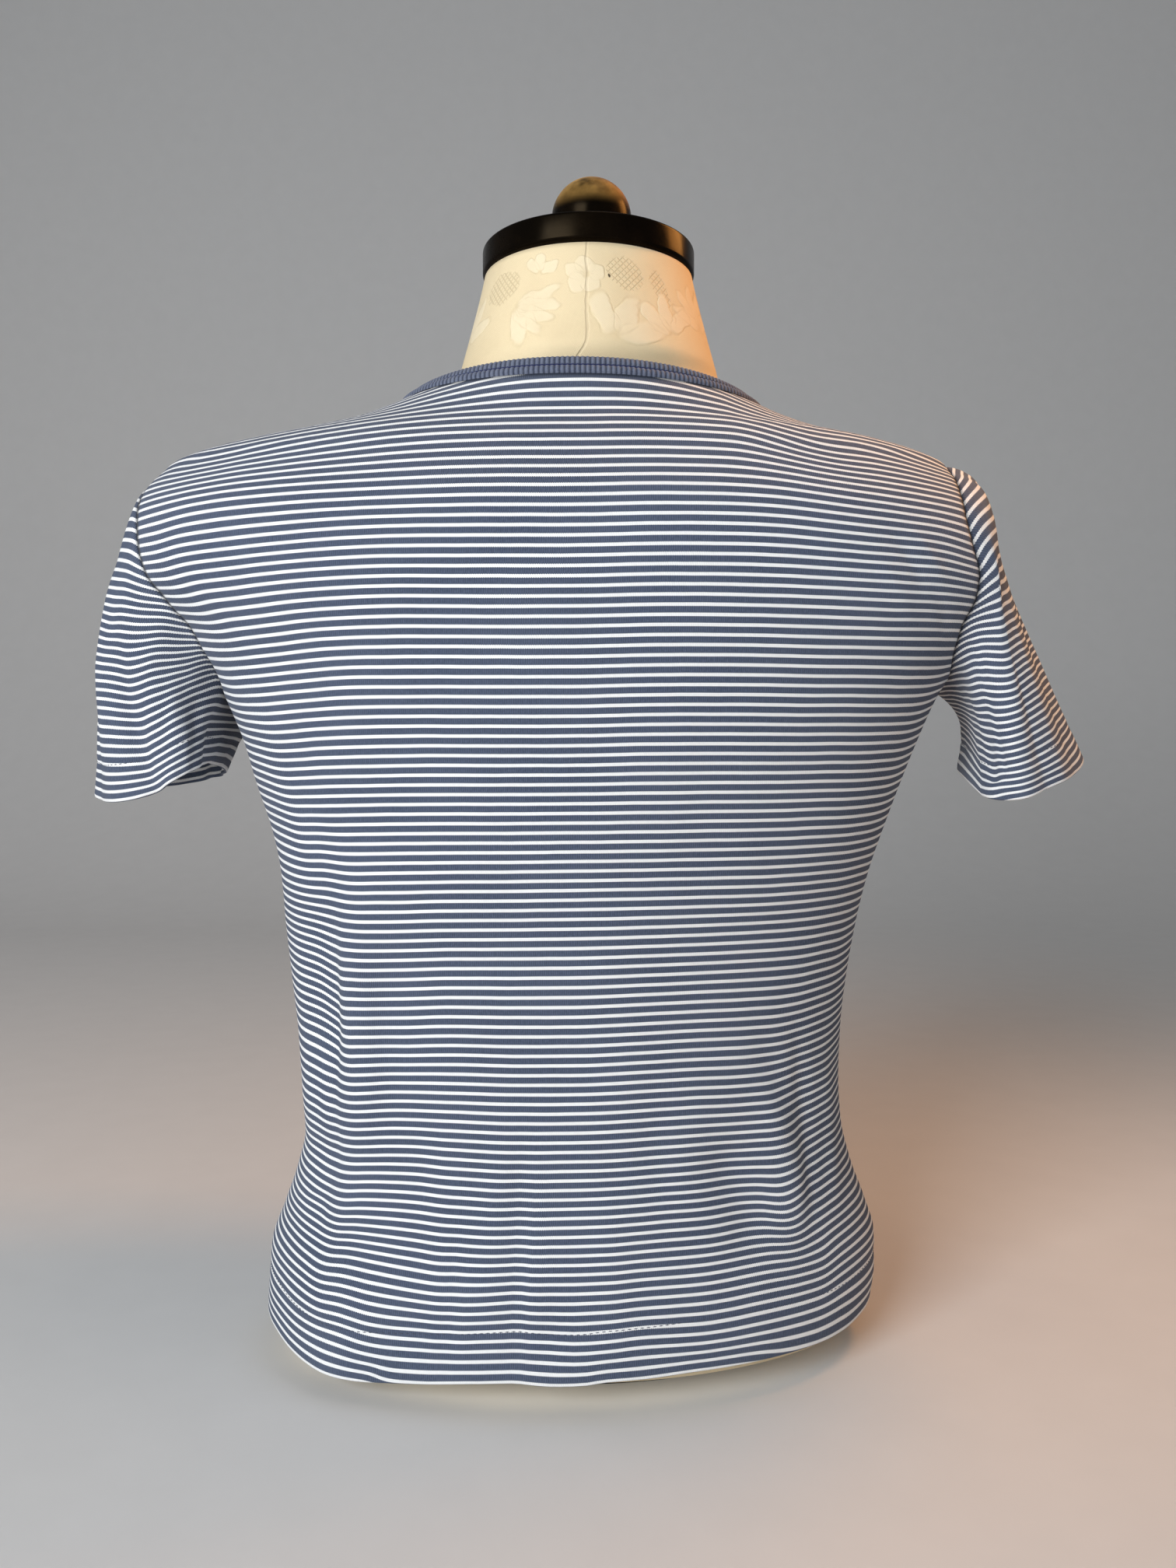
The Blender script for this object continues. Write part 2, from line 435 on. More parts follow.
def smooth_step(values, slopes, i, step, s):
    """A smooth curve through the values that has the given slopes at them."""
    return (
        values[i] * (1 + 2 * s) * (1 - s) ** 2
        + values[i + 1] * s * s * (3 - 2 * s)
        + step * (slopes[i] * s * (1 - s) ** 2 + slopes[i + 1] * s * s * (s - 1))
    )


def read_curve(curve, at):
    places, values, slopes = curve
    at = np.clip(np.asarray(at, float), places[0], places[-1])
    return smooth_step(values, slopes, *step_at(places, at))


def columns_of(rows, names):
    """A curve for each named column of a table, over the table's first column."""
    data = np.array(rows, float)
    return {
        name: smooth_table(data[:, 0], data[:, k])
        for k, name in enumerate(names)
        if k
    }


def soft_weights(places, at):
    """How much each of the places counts at each point, for a smooth curve."""
    places = np.asarray(places, float)
    at = np.clip(np.asarray(at, float).ravel(), places[0], places[-1])
    i, step, s = step_at(places, at)
    weights = np.zeros((len(at), len(places)))
    for k in range(len(places)):
        one = np.zeros(len(places))
        one[k] = 1.0
        weights[:, k] = smooth_step(one, np.gradient(one, places), i, step, s)
    return weights


def unit(vectors):
    """The vectors at length 1."""
    return vectors / np.linalg.norm(vectors, axis=-1, keepdims=True)


BODY = columns_of(SECTIONS, SECTION)
ARM = {
    -1: columns_of(ARMHOLE_LEFT, ARMHOLE),
    1: columns_of(ARMHOLE_RIGHT, ARMHOLE),
}
HEAD_OUT = columns_of(HEADS, HEAD)
HEM_BACK = smooth_table(*zip(*HEM_BACK_POINTS))
HEM_FRONT = smooth_table(*zip(*HEM_FRONT_POINTS))
UNDERARM_BOW = {-1: 0.0, 1: 0.0130}     # bow of the sleeve's front under the arm
BOW_PLACE, BOW_SPREAD, BOW_LIFT = 0.66, 0.20, 0.2   # its middle, reach and rise
UNDERARM = {-1: ARMHOLE_LEFT[0][0], 1: ARMHOLE_RIGHT[0][0]}
TIP_X = {-1: -ARMHOLE_LEFT[-1][1], 1: ARMHOLE_RIGHT[-1][1]}


# ---------------------------------------------------------------- the worn body
def left_to_right(left, right, x, z):
    """A section measure that passes from its left to its right column."""
    over = 0.02
    mix = 0.5 + 0.5 * np.tanh(np.asarray(x, float) / over)
    return read_curve(BODY[left], z) * (1 - mix) + read_curve(BODY[right], z) * mix


def half_width(x, z):
    return left_to_right("left", "right", x, z)


def squareness(x, z):
    return left_to_right("square_left", "square_right", x, z)


def body_level(x, y, z):
    """Above 0 outside the worn body's section curve, below 0 inside it."""
    n = squareness(x, z)
    back = read_curve(BODY["back"], z)
    front = read_curve(BODY["front"], z)
    depth = np.where(np.asarray(y) < 0, back, front)
    across = np.abs(x) / half_width(x, z)
    along = np.abs(y) / depth
    return across ** n + along ** n - 1.0


def body_y(side, x, z):
    """The back (-1) or front (1) surface's y over a point of the picture plane."""
    n = squareness(x, z)
    depth = read_curve(BODY["back" if side < 0 else "front"], z)
    across = np.clip(np.abs(x) / half_width(x, z), 0.0, 1.0)
    return side * depth * np.maximum(1.0 - across ** n, 0.0) ** (1.0 / n)


def shoulder_z(x, y):
    """Height of the shoulder's surface over a point of the floor plan."""
    x = np.asarray(x, float)
    y = np.asarray(y, float) * np.ones_like(x)
    low = np.full(x.shape, 0.36)
    high = np.full(x.shape, 0.505)
    for _ in range(40):
        middle = 0.5 * (low + high)
        inside = body_level(x, y, middle) < 0
        low = np.where(inside, middle, low)
        high = np.where(inside, high, middle)
    return 0.5 * (low + high)


def outward(x, y, z):
    """Unit normals of the worn body's surface."""
    e = 0.0004
    g = np.stack(
        [
            body_level(x + e, y, z) - body_level(x - e, y, z),
            body_level(x, y + e, z) - body_level(x, y - e, z),
            body_level(x, y, z + e) - body_level(x, y, z - e),
        ],
        axis=-1,
    )
    return g / np.maximum(np.linalg.norm(g, axis=-1, keepdims=True), 1e-12)


def seam_y(x):
    """The shoulder seam's place behind the ridge, growing towards the sleeve."""
    share = np.clip((np.abs(x) - NECK_HALF) / (SHOULDER_OUT - NECK_HALF), 0, 1)
    return -SEAM_BEHIND * (0.25 + 0.75 * share)


def neckline(side, steps):
    """Evenly spaced x, z places from the neckline's middle to each shoulder seam."""
    ends = {}
    for hand in (-1, 1):
        share = np.sin(0.5 * math.pi * np.linspace(0, 1, 400))
        x = NECK_CENTRE + hand * NECK_HALF * share
        seam = float(shoulder_z(x[-1], seam_y(x[-1])))
        if side < 0:
            z = NECK_BACK_Z + (seam - NECK_BACK_Z) * share ** 2
        else:
            dip = 1 - np.sqrt(np.maximum(1 - share ** 2.6, 0))
            z = NECK_FRONT_Z + (seam - NECK_FRONT_Z) * dip
        y = body_y(side, x, z)
        y[-1] = seam_y(x[-1])
        walk = np.sqrt(np.diff(x) ** 2 + np.diff(y) ** 2 + np.diff(z) ** 2)
        walk = np.concatenate([[0], np.cumsum(walk)])
        even = np.linspace(0, walk[-1], steps + 1)
        ends[hand] = np.interp(even, walk, x), np.interp(even, walk, z)
    return ends


def fade(distance, reach):
    """1 at no distance, falling softly to 0 past the reach."""
    return np.exp(-((distance / reach) ** 2))


def beside_seam(distance):
    """1 on a seam, fading to 0 a little beside it."""
    return fade(distance, 0.0013)


def ease_ends(share):
    """1 in the middle of a crease, easing to 0 at both ends."""
    return np.clip(np.minimum(share, 1 - share) / 0.3, 0, 1) ** 1.5


def crease_rise(rows, side, x, z):
    """How far one panel's creases lift its cloth at each point."""
    total = np.zeros_like(x)
    for row in rows:
        c = dict(zip(CREASE, row))
        if c["side"] != side:
            continue
        dx = c["x1"] - c["x0"]
        dz = c["z1"] - c["z0"]
        length = math.hypot(dx, dz)
        along = ((x - c["x0"]) * dx + (z - c["z0"]) * dz) / length ** 2
        off = ((x - c["x0"]) * dz - (z - c["z0"]) * dx) / length
        share = np.clip(along, 0, 1)
        off = off + c["bow"] * 4 * share * (1 - share)
        total += c["rise"] * np.exp(-(off / c["width"]) ** 2) * ease_ends(share)
    return total


def hem_z(side, x):
    """Height of the body's hem."""
    return read_curve(HEM_BACK if side < 0 else HEM_FRONT, x)


def neck_steps(side):
    """Cells along half of the panel's neckline."""
    return round(COLUMNS // 2 * NECK_SHARE[side])


def panel_plan(side):
    """x and z of the panel's grid, rows from the hem to the shoulder."""
    half = COLUMNS // 2
    key = "back" if side < 0 else "front"
    steps = np.arange(COLUMNS + 1) - half
    hand = np.where(steps < 0, -1, 1)
    count = np.abs(steps)
    neck_cells = neck_steps(side)
    neck = neckline(side, neck_cells)
    top_x = np.zeros(COLUMNS + 1)
    top_z = np.zeros(COLUMNS + 1)
    for i in range(COLUMNS + 1):
        h = hand[i]
        xs, zs = neck[h]
        if count[i] <= neck_cells:
            top_x[i], top_z[i] = xs[count[i]], zs[count[i]]
        else:
            part = (count[i] - neck_cells) / (half - neck_cells)
            top_x[i] = xs[-1] + (TIP_X[h] - xs[-1]) * part
            top_z[i] = float(shoulder_z(top_x[i], seam_y(top_x[i])))
    tip = {-1: (TIP_X[-1], top_z[0]), 1: (TIP_X[1], top_z[-1])}
    top = top_x / np.where(hand < 0, TIP_X[-1], TIP_X[1])
    lowest = np.sin(0.5 * math.pi * count / half) ** SPREAD
    under = np.where(hand < 0, UNDERARM[-1], UNDERARM[1])
    middle_z = 0.5 * (UNDERARM[-1] + UNDERARM[1])
    row0_z = middle_z + (under - middle_z) * lowest
    xs, zs = [], []
    for j in range(ROWS_LOW + 1):
        start = hem_z(side, hand * lowest * HEM_HALF)
        z = start + (row0_z - start) * j / ROWS_LOW
        xs.append(hand * lowest * half_width(hand * 0.2, z))
        zs.append(z)
    for j in range(1, ROWS_HIGH + 1):
        g = math.sin(0.5 * math.pi * j / ROWS_HIGH)
        g = EDGE_MIX * g + (1 - EDGE_MIX) * g * g
        share = lowest + (top - lowest) * g
        z = row0_z + (top_z - row0_z) * g
        edge_z = {h: UNDERARM[h] + (tip[h][1] - UNDERARM[h]) * g for h in (-1, 1)}
        edge_x = {h: float(read_curve(ARM[h][key], edge_z[h])) for h in (-1, 1)}
        xs.append(hand * share * np.where(hand < 0, edge_x[-1], edge_x[1]))
        zs.append(z)
    xs[-1] = top_x
    return np.array(xs), np.array(zs)


def steps_between(points, axis):
    """Distances walked along the rows (axis 1) or up the columns (axis 0)."""
    gaps = np.linalg.norm(np.diff(points, axis=axis), axis=-1)
    start = np.zeros_like(np.take(gaps, [0], axis=axis))
    return np.cumsum(np.concatenate([start, gaps], axis=axis), axis=axis)


def panel_points(side):
    """Outer points and normals of a panel, drawn in a little at its seams."""
    x, z = panel_plan(side)
    y = body_y(side, x, z)
    steps = np.abs(np.arange(COLUMNS + 1) - COLUMNS // 2)
    seam = steps >= neck_steps(side)
    y[-1, seam] = seam_y(x[-1, seam])
    y[: ROWS_LOW + 1, 0] = 0.0
    y[: ROWS_LOW + 1, -1] = 0.0
    n = outward(x, y, z)
    points = np.stack([x, y, z], axis=-1)
    rise = crease_rise(CREASES, side, x, z) + crease_rise(FINE_CREASES, side, x, z)
    points = points + n * rise[..., None]
    points[: ROWS_LOW + 1, 0, 1] = side * SEAM / 2
    points[: ROWS_LOW + 1, -1, 1] = side * SEAM / 2
    points[-1, :, 1] += side * SEAM / 2
    across = steps_between(points, 1)
    up = steps_between(points, 0)
    near_side = np.minimum(across, across[:, -1:] - across)
    near_top = up[-1:] - up
    draw = 0.0007 * fade(near_side, 0.0022)
    draw += 0.0006 * fade(near_top, 0.0022)
    draw += 0.0004 * fade(up - HEM_DEEP, 0.0016)
    draw[-1] = 0.0006
    seam = beside_seam(near_top) * 0.7
    seam[ROWS_LOW:] = np.maximum(seam[ROWS_LOW:], beside_seam(near_side[ROWS_LOW:]))
    seam = np.maximum(seam, 0.6 * beside_seam(near_side))
    return points - n * draw[..., None], n, seam


# ---------------------------------------------------------------- the stripes' courses
def stripe_height(x, z):
    """Height of the stripe that a point of the back lies on, in the cut cloth."""
    rows = np.array(STRIPE_DRAG)
    share = (x / half_width(x, z)).ravel()
    by_height = soft_weights(rows[:, 0], z)
    by_share = soft_weights(DRAG_SHARES, share)
    drag = np.einsum("pi,ij,pj->p", by_height, rows[:, 1:], by_share)
    return z + drag.reshape(x.shape) * 0.001


def climb(points, normals):
    """Distances up the slope of the cloth between one row and the next."""
    tilt = 0.5 * (normals[1:, :, 2] + normals[:-1, :, 2])
    return np.diff(points[..., 2], axis=0) / np.sqrt(np.maximum(1 - tilt ** 2, 0.02))


def kept_to_pitch(height, steps, least, most):
    """The cut heights held so that no stripe is drawn thinner or wider than knit can."""
    held = height.copy()
    for j in range(1, len(held)):
        low = held[j - 1] + least * steps[j - 1]
        held[j] = np.clip(height[j], low, held[j - 1] + most * steps[j - 1])
    return held


def course_on_edge(height, walked):
    """The cut heights eased so that the nearest white stripe lies along the hem."""
    turns = height[0] / PITCH
    miss = np.rint(turns) - turns
    miss = miss * (1 - (2 * miss) ** 4) * PITCH
    return height + miss[None] * fade(walked, 0.008)


def sleeve_drag(table, shares, height):
    """How far the stripes lie above their level height round a sleeve."""
    rows = np.array(table)
    first, last = SLEEVE_DRAG_SHARES[0], SLEEVE_DRAG_SHARES[-1]
    hidden = np.clip((shares - last) / (1 + first - last), 0, 1)
    at = np.where(shares > 1 + first, shares - 1, np.minimum(shares, last))
    by_share = soft_weights(SLEEVE_DRAG_SHARES, at)
    ends = soft_weights(SLEEVE_DRAG_SHARES, [first])
    front = (shares > last) & (shares <= 1 + first)
    by_share[front] += (ends - by_share[front]) * hidden[front, None]
    by_height = soft_weights(rows[:, 0], height).reshape(height.shape + (-1,))
    return np.einsum("jpi,ik,pk->jp", by_height, rows[:, 1:], by_share) * 0.001


# ---------------------------------------------------------------- sleeves
def square_to(loop, ways):
    """The ways turned square to the closed seam line that they start from."""
    line = np.roll(loop, -1, axis=0) - np.roll(loop, 1, axis=0)
    line = unit(line)
    return unit(ways - line * (ways * line).sum(axis=1, keepdims=True))


def armhole_ring(hand, back, front):
    """The seam loop of one sleeve with its outward direction and wall direction."""
    edge = 0 if hand < 0 else -1
    near = 4 if hand < 0 else -5
    loops, ways, walls = [], [], []
    b_points, b_normals = back
    f_points, f_normals = front
    low = ROWS_LOW

    def add(p, q, n):
        way = p - q
        way = way - n * np.dot(way, n)
        loops.append(p)
        ways.append(way / np.linalg.norm(way))
        walls.append(n)

    top = 0.5 * (b_points[-1, edge] + f_points[-1, edge])
    add(top, 0.5 * (b_points[-1, near] + f_points[-1, near]), b_normals[-1, edge])
    for j in range(low + ROWS_HIGH - 1, low, -1):
        add(b_points[j, edge], b_points[j, near], b_normals[j, edge])
    under = 0.5 * (b_points[low, edge] + f_points[low, edge])
    add(under, 0.5 * (b_points[low - 4, edge] + f_points[low - 4, edge]),
        b_normals[low, edge])
    for j in range(low + 1, low + ROWS_HIGH):
        add(f_points[j, edge], f_points[j, near], f_normals[j, edge])
    ring = np.array([loops, square_to(np.array(loops), np.array(ways)), walls])
    share = np.linspace(0, 1, TOP_STEPS, endpoint=False)[1:, None]
    bridge = ring[:, -1:] * (1 - share) + ring[:, :1] * share
    bridge[1:] = unit(bridge[1:])
    return np.concatenate([ring[:, :1], ring[:, 2:], bridge], axis=1)


def hem_ring(table, shares):
    """A closed smooth curve through the hem table's points."""
    data = np.array(table, float)
    places = np.concatenate([data[-2:, 0] - 1, data[:, 0], data[:3, 0] + 1])
    out = []
    for k in range(1, 4):
        values = np.concatenate([data[-2:, k], data[:, k], data[:3, k]])
        slopes = np.gradient(values, places)
        out.append(smooth_step(values, slopes, *step_at(places, shares)))
    return np.stack(out, axis=-1)


def round_off(shares, place):
    """How far each share round a sleeve is from the place, by the shorter way."""
    return (shares - place + 0.5) % 1.0 - 0.5


def sleeve_crease_rise(creases, shares, down, girth):
    """How far a sleeve's creases lift its cloth, ring by ring."""
    total = np.zeros((len(down), len(shares)))
    for row in creases:
        f = dict(zip(SLEEVE_CREASE, row))
        for j, t in enumerate(down):
            along = (t - f["down0"]) / (f["down1"] - f["down0"])
            if not 0 <= along <= 1:
                continue
            centre = f["round0"] + (f["round1"] - f["round0"]) * along
            off = round_off(shares, centre)
            ease = min(along / 0.35, 1.0) ** 1.5
            total[j] += f["rise"] * ease * np.exp(-(off * girth / f["width"]) ** 2)
    return total


def grid_normals(grid):
    """Normals of a closed tube's points, pointing away from its hollow."""
    round_way = np.roll(grid, -1, axis=1) - np.roll(grid, 1, axis=1)
    down_way = np.gradient(grid, axis=0)
    n = np.cross(round_way, down_way)
    n /= np.maximum(np.linalg.norm(n, axis=-1, keepdims=True), 1e-12)
    away = grid - grid.mean(axis=1, keepdims=True)
    if (n * away).sum() < 0:
        n = -n
    return n


def sleeve_points(hand, back, front, table, creases):
    """Outer points and wall directions of a sleeve, rings from armhole to hem."""
    loop, way, wall = armhole_ring(hand, back, front)
    chords = np.linalg.norm(np.roll(loop, -1, axis=0) - loop, axis=1)
    shares = np.concatenate([[0], np.cumsum(chords)[:-1]]) / chords.sum()
    hem = hem_ring(table, shares)
    start = loop + way * SEAM
    down = np.linspace(0, 1, RINGS + 1)
    length = np.linalg.norm(hem - start, axis=1)
    around = np.abs((shares + 0.5) % 1.0 - 0.5) * 2
    pull = 0.34 * length        # how far the sleeve keeps the shoulder's direction
    under_way = np.array([0.9 * hand, 0.0, -0.4])
    turn = around[:, None] ** 2
    leave = unit(way * (1 - turn) + under_way * turn)
    top_share = (0.5 + 0.5 * np.cos(math.pi * around)) ** 1.2
    side_way = np.array([hand, 0.0, 0.12])
    hang = (hem - start) / length[:, None]
    hang[:, 2] -= 0.25
    hang = unit(hang)
    head = HEAD_OUT["left" if hand < 0 else "right"]
    bow_way = np.array([hand, 0.0, BOW_LIFT])
    bow = UNDERARM_BOW[hand] * fade(round_off(shares, BOW_PLACE), BOW_SPREAD)
    grid = []
    for s in down:
        at_start = 2 * s ** 3 - 3 * s ** 2 + 1
        along_start = s ** 3 - 2 * s ** 2 + s
        at_hem = -2 * s ** 3 + 3 * s ** 2
        along_hem = s ** 3 - s ** 2
        grid.append(
            at_start * start + along_start * leave * pull[:, None] + at_hem * hem
            + along_hem * hang * (0.5 * length)[:, None]
            + side_way * (read_curve(head, s) * top_share)[:, None]
            + bow_way * (bow * 16 * (s * (1 - s)) ** 2)[:, None]
        )
    grid = np.array(grid)
    normals = grid_normals(grid)
    rise = sleeve_crease_rise(creases, shares, down, SLEEVE_GIRTH)
    grid = grid + normals * rise[..., None]
    normals = grid_normals(grid)
    normals[0] = wall
    turned_by = 4.5             # the wall's direction is the sleeve's own from 1 / 4.5 down
    mix = np.clip(down * turned_by, 0, 1)[:, None, None]
    normals = unit(normals * mix + wall[None] * (1 - mix))
    walked = steps_between(grid, 0)
    groove = 0.0005 * fade(walked, 0.0020)
    groove += 0.0004 * fade(walked[-1:] - walked - CUFF_DEEP, 0.0016)
    return grid - normals * groove[..., None], normals, shares, beside_seam(walked)


# ---------------------------------------------------------------- making meshes
def place_on_scene(name, bm, stuff):
    """The finished bmesh as a smooth-shaded piece of the scene."""
    mesh = bpy.data.meshes.new(name)
    bm.to_mesh(mesh)
    bm.free()
    mesh.materials.append(stuff)
    mesh.shade_smooth()
    piece = bpy.data.objects.new(name, mesh)
    bpy.context.scene.collection.objects.link(piece)
    return piece


def draped_grid(name, points, cut, stuff, way_out=None, seam=None, weld=False, ends=False):
    """A flat grid laid onto the given points, with the cut's measures as its map.

    way_out gives the way out at a face's middle, where the faces may need turning."""
    rows, cols = points.shape[:2]
    bm = bmesh.new()
    bmesh.ops.create_grid(bm, x_segments=cols - 1, y_segments=rows - 1, size=0.5)
    bm.verts.ensure_lookup_table()
    where = np.array([v.co[:2] for v in bm.verts])
    spot_i = np.rint((where[:, 0] + 0.5) * (cols - 1)).astype(int)
    spot_j = np.rint((where[:, 1] + 0.5) * (rows - 1)).astype(int)
    tone = bm.verts.layers.float.new("seam")
    for v, i, j in zip(bm.verts, spot_i, spot_j):
        v.co = points[j, i]
        v[tone] = 0.0 if seam is None else seam[j, i]
    layer = bm.loops.layers.uv.new("cut")
    for face in bm.faces:
        for loop in face.loops:
            k = loop.vert.index
            loop[layer].uv = cut[spot_j[k], spot_i[k]]
    if weld:
        bmesh.ops.remove_doubles(bm, verts=bm.verts, dist=2e-6)
    if ends:
        rims = [e for e in bm.edges if e.is_boundary]
        bmesh.ops.holes_fill(bm, edges=rims, sides=0)
    bm.normal_update()
    if way_out is not None:
        lean = sum(f.normal.dot(way_out(f.calc_center_median())) for f in bm.faces)
        if lean < 0:
            bmesh.ops.reverse_faces(bm, faces=bm.faces)
    return place_on_scene(name, bm, stuff)


def thicken(piece, thickness):
    """Give the cloth its thickness, inwards from the outer face."""
    wall = piece.modifiers.new("cloth", "SOLIDIFY")
    wall.thickness = thickness
    wall.offset = -1.0
    wall.use_even_offset = False
    wall.use_rim = True


def row_at(points, walked, height):
    """The grid's points read at one walked height up every column."""
    row = np.empty_like(points[0])
    for i in range(points.shape[1]):
        for k in range(3):
            row[i, k] = np.interp(height, walked[:, i], points[:, i, k])
    return row


def with_turned_hem(points, normals, height, deep):
    """Rows of the turned-up hem put before the outer rows, and their cut heights.

    points run up from the hem; height is each point's height in the cut cloth."""
    up = steps_between(points, 0)
    first = unit(points[1] - points[0])
    centre = points[0] - normals[0] * TURN
    rows, heights = [], []
    fold = math.pi * TURN
    for share in np.linspace(1, 0.06, 9):
        walk = deep * share
        rows.append(row_at(points, up, walk) - row_at(normals, up, walk) * 2 * TURN)
        heights.append(height[0] - fold - walk)
    for k in range(1, 6):
        a = math.pi * (1 - k / 6)
        rows.append(centre + normals[0] * TURN * math.cos(a) - first * TURN * math.sin(a))
        heights.append(height[0] - fold * (1 - k / 6))
    return (
        np.concatenate([np.array(rows), points]),
        np.concatenate([np.array(heights), height]),
    )


def spun(name, profile, stuff, centre, steps=96):
    """A turned piece from its profile of radius and height, closed on its axis."""
    bm = bmesh.new()
    verts = [bm.verts.new((r, 0.0, z)) for r, z in profile]
    edges = [bm.edges.new(pair) for pair in zip(verts, verts[1:])]
    bmesh.ops.spin(
        bm, geom=verts + edges, cent=(0, 0, 0), axis=(0, 0, 1), angle=2 * math.pi,
        steps=steps, use_merge=True, use_duplicate=False,
    )
    bmesh.ops.remove_doubles(bm, verts=bm.verts, dist=1e-6)
    bmesh.ops.recalc_face_normals(bm, faces=bm.faces)
    bmesh.ops.translate(bm, verts=bm.verts, vec=(centre[0], centre[1], 0))
    return place_on_scene(name, bm, stuff)


def rounded(profile, radius, steps=5):
    """The profile with its inner corners rounded."""
    out = [profile[0]]
    for before, corner, after in zip(profile, profile[1:], profile[2:]):
        p, c, q = (np.array(v) for v in (before, corner, after))
        a, b = (p - c), (q - c)
        r = min(radius, 0.45 * np.linalg.norm(a), 0.45 * np.linalg.norm(b))
        a, b = c + a / np.linalg.norm(a) * r, c + b / np.linalg.norm(b) * r
        for k in range(steps + 1):
            t = k / steps
            out.append(tuple((1 - t) ** 2 * a + 2 * t * (1 - t) * c + t * t * b))
    out.append(profile[-1])
    return out


def place_along(path, walked, distance):
    """The path's point at a walked distance."""
    return np.array([np.interp(distance, walked, path[:, a]) for a in range(3)])


def stitches(name, path, normals, length, gap, thick, stuff):
    """A row of short thread stitches along a closed path on the cloth."""
    path = np.concatenate([path, path[:1]])
    normals = np.concatenate([normals, normals[:1]])
    walked = steps_between(path, 0)
    count = int(walked[-1] / (length + gap))
    bm = bmesh.new()
    for k in range(count):
        middle = (k + 0.5) * walked[-1] / count
        p = place_along(path, walked, middle)
        q = place_along(path, walked, middle + 0.001)
        way = Vector(q - p).normalized()
        up = Vector(place_along(normals, walked, middle))
        up = (up - way * up.dot(way)).normalized()
        side = up.cross(way)
        turn = Matrix(
            ((way.x, side.x, up.x), (way.y, side.y, up.y), (way.z, side.z, up.z))
        ).to_4x4()
        size = Matrix.Diagonal((length / 2, thick / 2, thick / 2, 1))
        place = Matrix.Translation(Vector(p)) @ turn @ size
        bmesh.ops.create_uvsphere(
            bm, u_segments=6, v_segments=4, radius=1.0, matrix=place
        )
    return place_on_scene(name, bm, stuff)


# ---------------------------------------------------------------- materials
class Recipe:
    """Builds one material's nodes with short calls."""

    def __init__(self, name):
        self.material = bpy.data.materials.new(name)
        self.material.use_nodes = True
        self.tree = self.material.node_tree
        self.shader = self.tree.nodes["Principled BSDF"]

    def put(self, socket, value):
        if hasattr(value, "is_output"):
            self.tree.links.new(value, socket)
        else:
            socket.default_value = value

    def node(self, kind, inputs=(), **settings):
        made = self.tree.nodes.new(kind)
        for key, value in settings.items():
            setattr(made, key, value)
        for key, value in dict(inputs).items():
            self.put(made.inputs[key], value)
        return made

    def maths(self, operation, *values):
        made = self.node("ShaderNodeMath", operation=operation)
        for socket, value in zip(made.inputs, values):
            self.put(socket, value)
        return made.outputs[0]

    def plus(self, first, second):
        return self.maths("ADD", first, second)

    def minus(self, first, second):
        return self.maths("SUBTRACT", first, second)

    def times(self, first, second):
        return self.maths("MULTIPLY", first, second)

    def away_from(self, value, place):
        """How far the value is from the place, on either side."""
        return self.maths("ABSOLUTE", self.minus(value, place))

    def largest(self, values):
        total = values[0]
        for value in values[1:]:
            total = self.maths("MAXIMUM", total, value)
        return total

    def cut_map(self):
        """The cut's measures: both as a vector, then across and up."""
        made = self.node("ShaderNodeUVMap", uv_map="cut")
        split = self.node("ShaderNodeSeparateXYZ", {"Vector": made.outputs[0]})
        return made.outputs[0], split.outputs[0], split.outputs[1]

    def object_place(self):
        return self.node("ShaderNodeTexCoord").outputs["Object"]

    def noise(self, vector, scale, detail=2.0, rough=0.5):
        made = self.node(
            "ShaderNodeTexNoise",
            {"Vector": vector, "Scale": scale, "Detail": detail, "Roughness": rough},
        )
        return made.outputs[0]

    def spread(self, value, low, high, to_low=0.0, to_high=1.0, soft=False):
        made = self.node(
            "ShaderNodeMapRange",
            {"Value": value, "From Min": low, "From Max": high, "To Min": to_low,
             "To Max": to_high},
            interpolation_type="SMOOTHSTEP" if soft else "LINEAR",
        )
        return made.outputs[0]

    def blend(self, share, first, second, mode="MIX"):
        made = self.node("ShaderNodeMix", data_type="RGBA", blend_type=mode)
        self.put(made.inputs[0], share)
        self.put(made.inputs[6], first)
        self.put(made.inputs[7], second)
        return made.outputs[2]

    def shade(self, colour, light):
        """The colour times a share of light."""
        grey = self.node("ShaderNodeCombineColor", {0: light, 1: light, 2: light})
        return self.blend(1.0, colour, grey.outputs[0], "MULTIPLY")

    def wave(self, value, period):
        """A smooth wave from -1 to 1 along the value."""
        return self.maths("SINE", self.times(value, 2 * math.pi / period))

    def bump(self, height, distance, strength):
        inputs = {"Height": height, "Distance": distance, "Strength": strength}
        return self.node("ShaderNodeBump", inputs).outputs[0]

    def finish(self, **sockets):
        for key, value in sockets.items():
            self.put(self.shader.inputs[key.replace("_", " ")], value)
        return self.material


NAVY = (0.088, 0.112, 0.170, 1)
NAVY_DEEP = (0.060, 0.078, 0.124, 1)
NAVY_WORN = (0.106, 0.130, 0.190, 1)
CHALK = (0.865, 0.870, 0.860, 1)
CHALK_DULL = (0.74, 0.75, 0.75, 1)
BAND_BLUE = (0.128, 0.150, 0.216, 1)
BAND_DEEP = (0.080, 0.096, 0.152, 1)
BAND_WORN = (0.172, 0.192, 0.246, 1)
BAND_LINE = (0.014, 0.019, 0.075, 1)
THREAD_DARK = (0.022, 0.029, 0.054, 1)
THREAD_PALE = (0.055, 0.068, 0.108, 1)
CREAM_LOW = (0.76, 0.620, 0.380, 1)
CREAM_HIGH = (0.83, 0.690, 0.445, 1)
CREAM_PETAL = (0.92, 0.815, 0.600, 1)
CREAM_FIGURE = (0.55, 0.43, 0.235, 1)
CREAM_STAIN = (0.64, 0.51, 0.31, 1)
CREAM_SEAM = (0.46, 0.37, 0.24, 1)
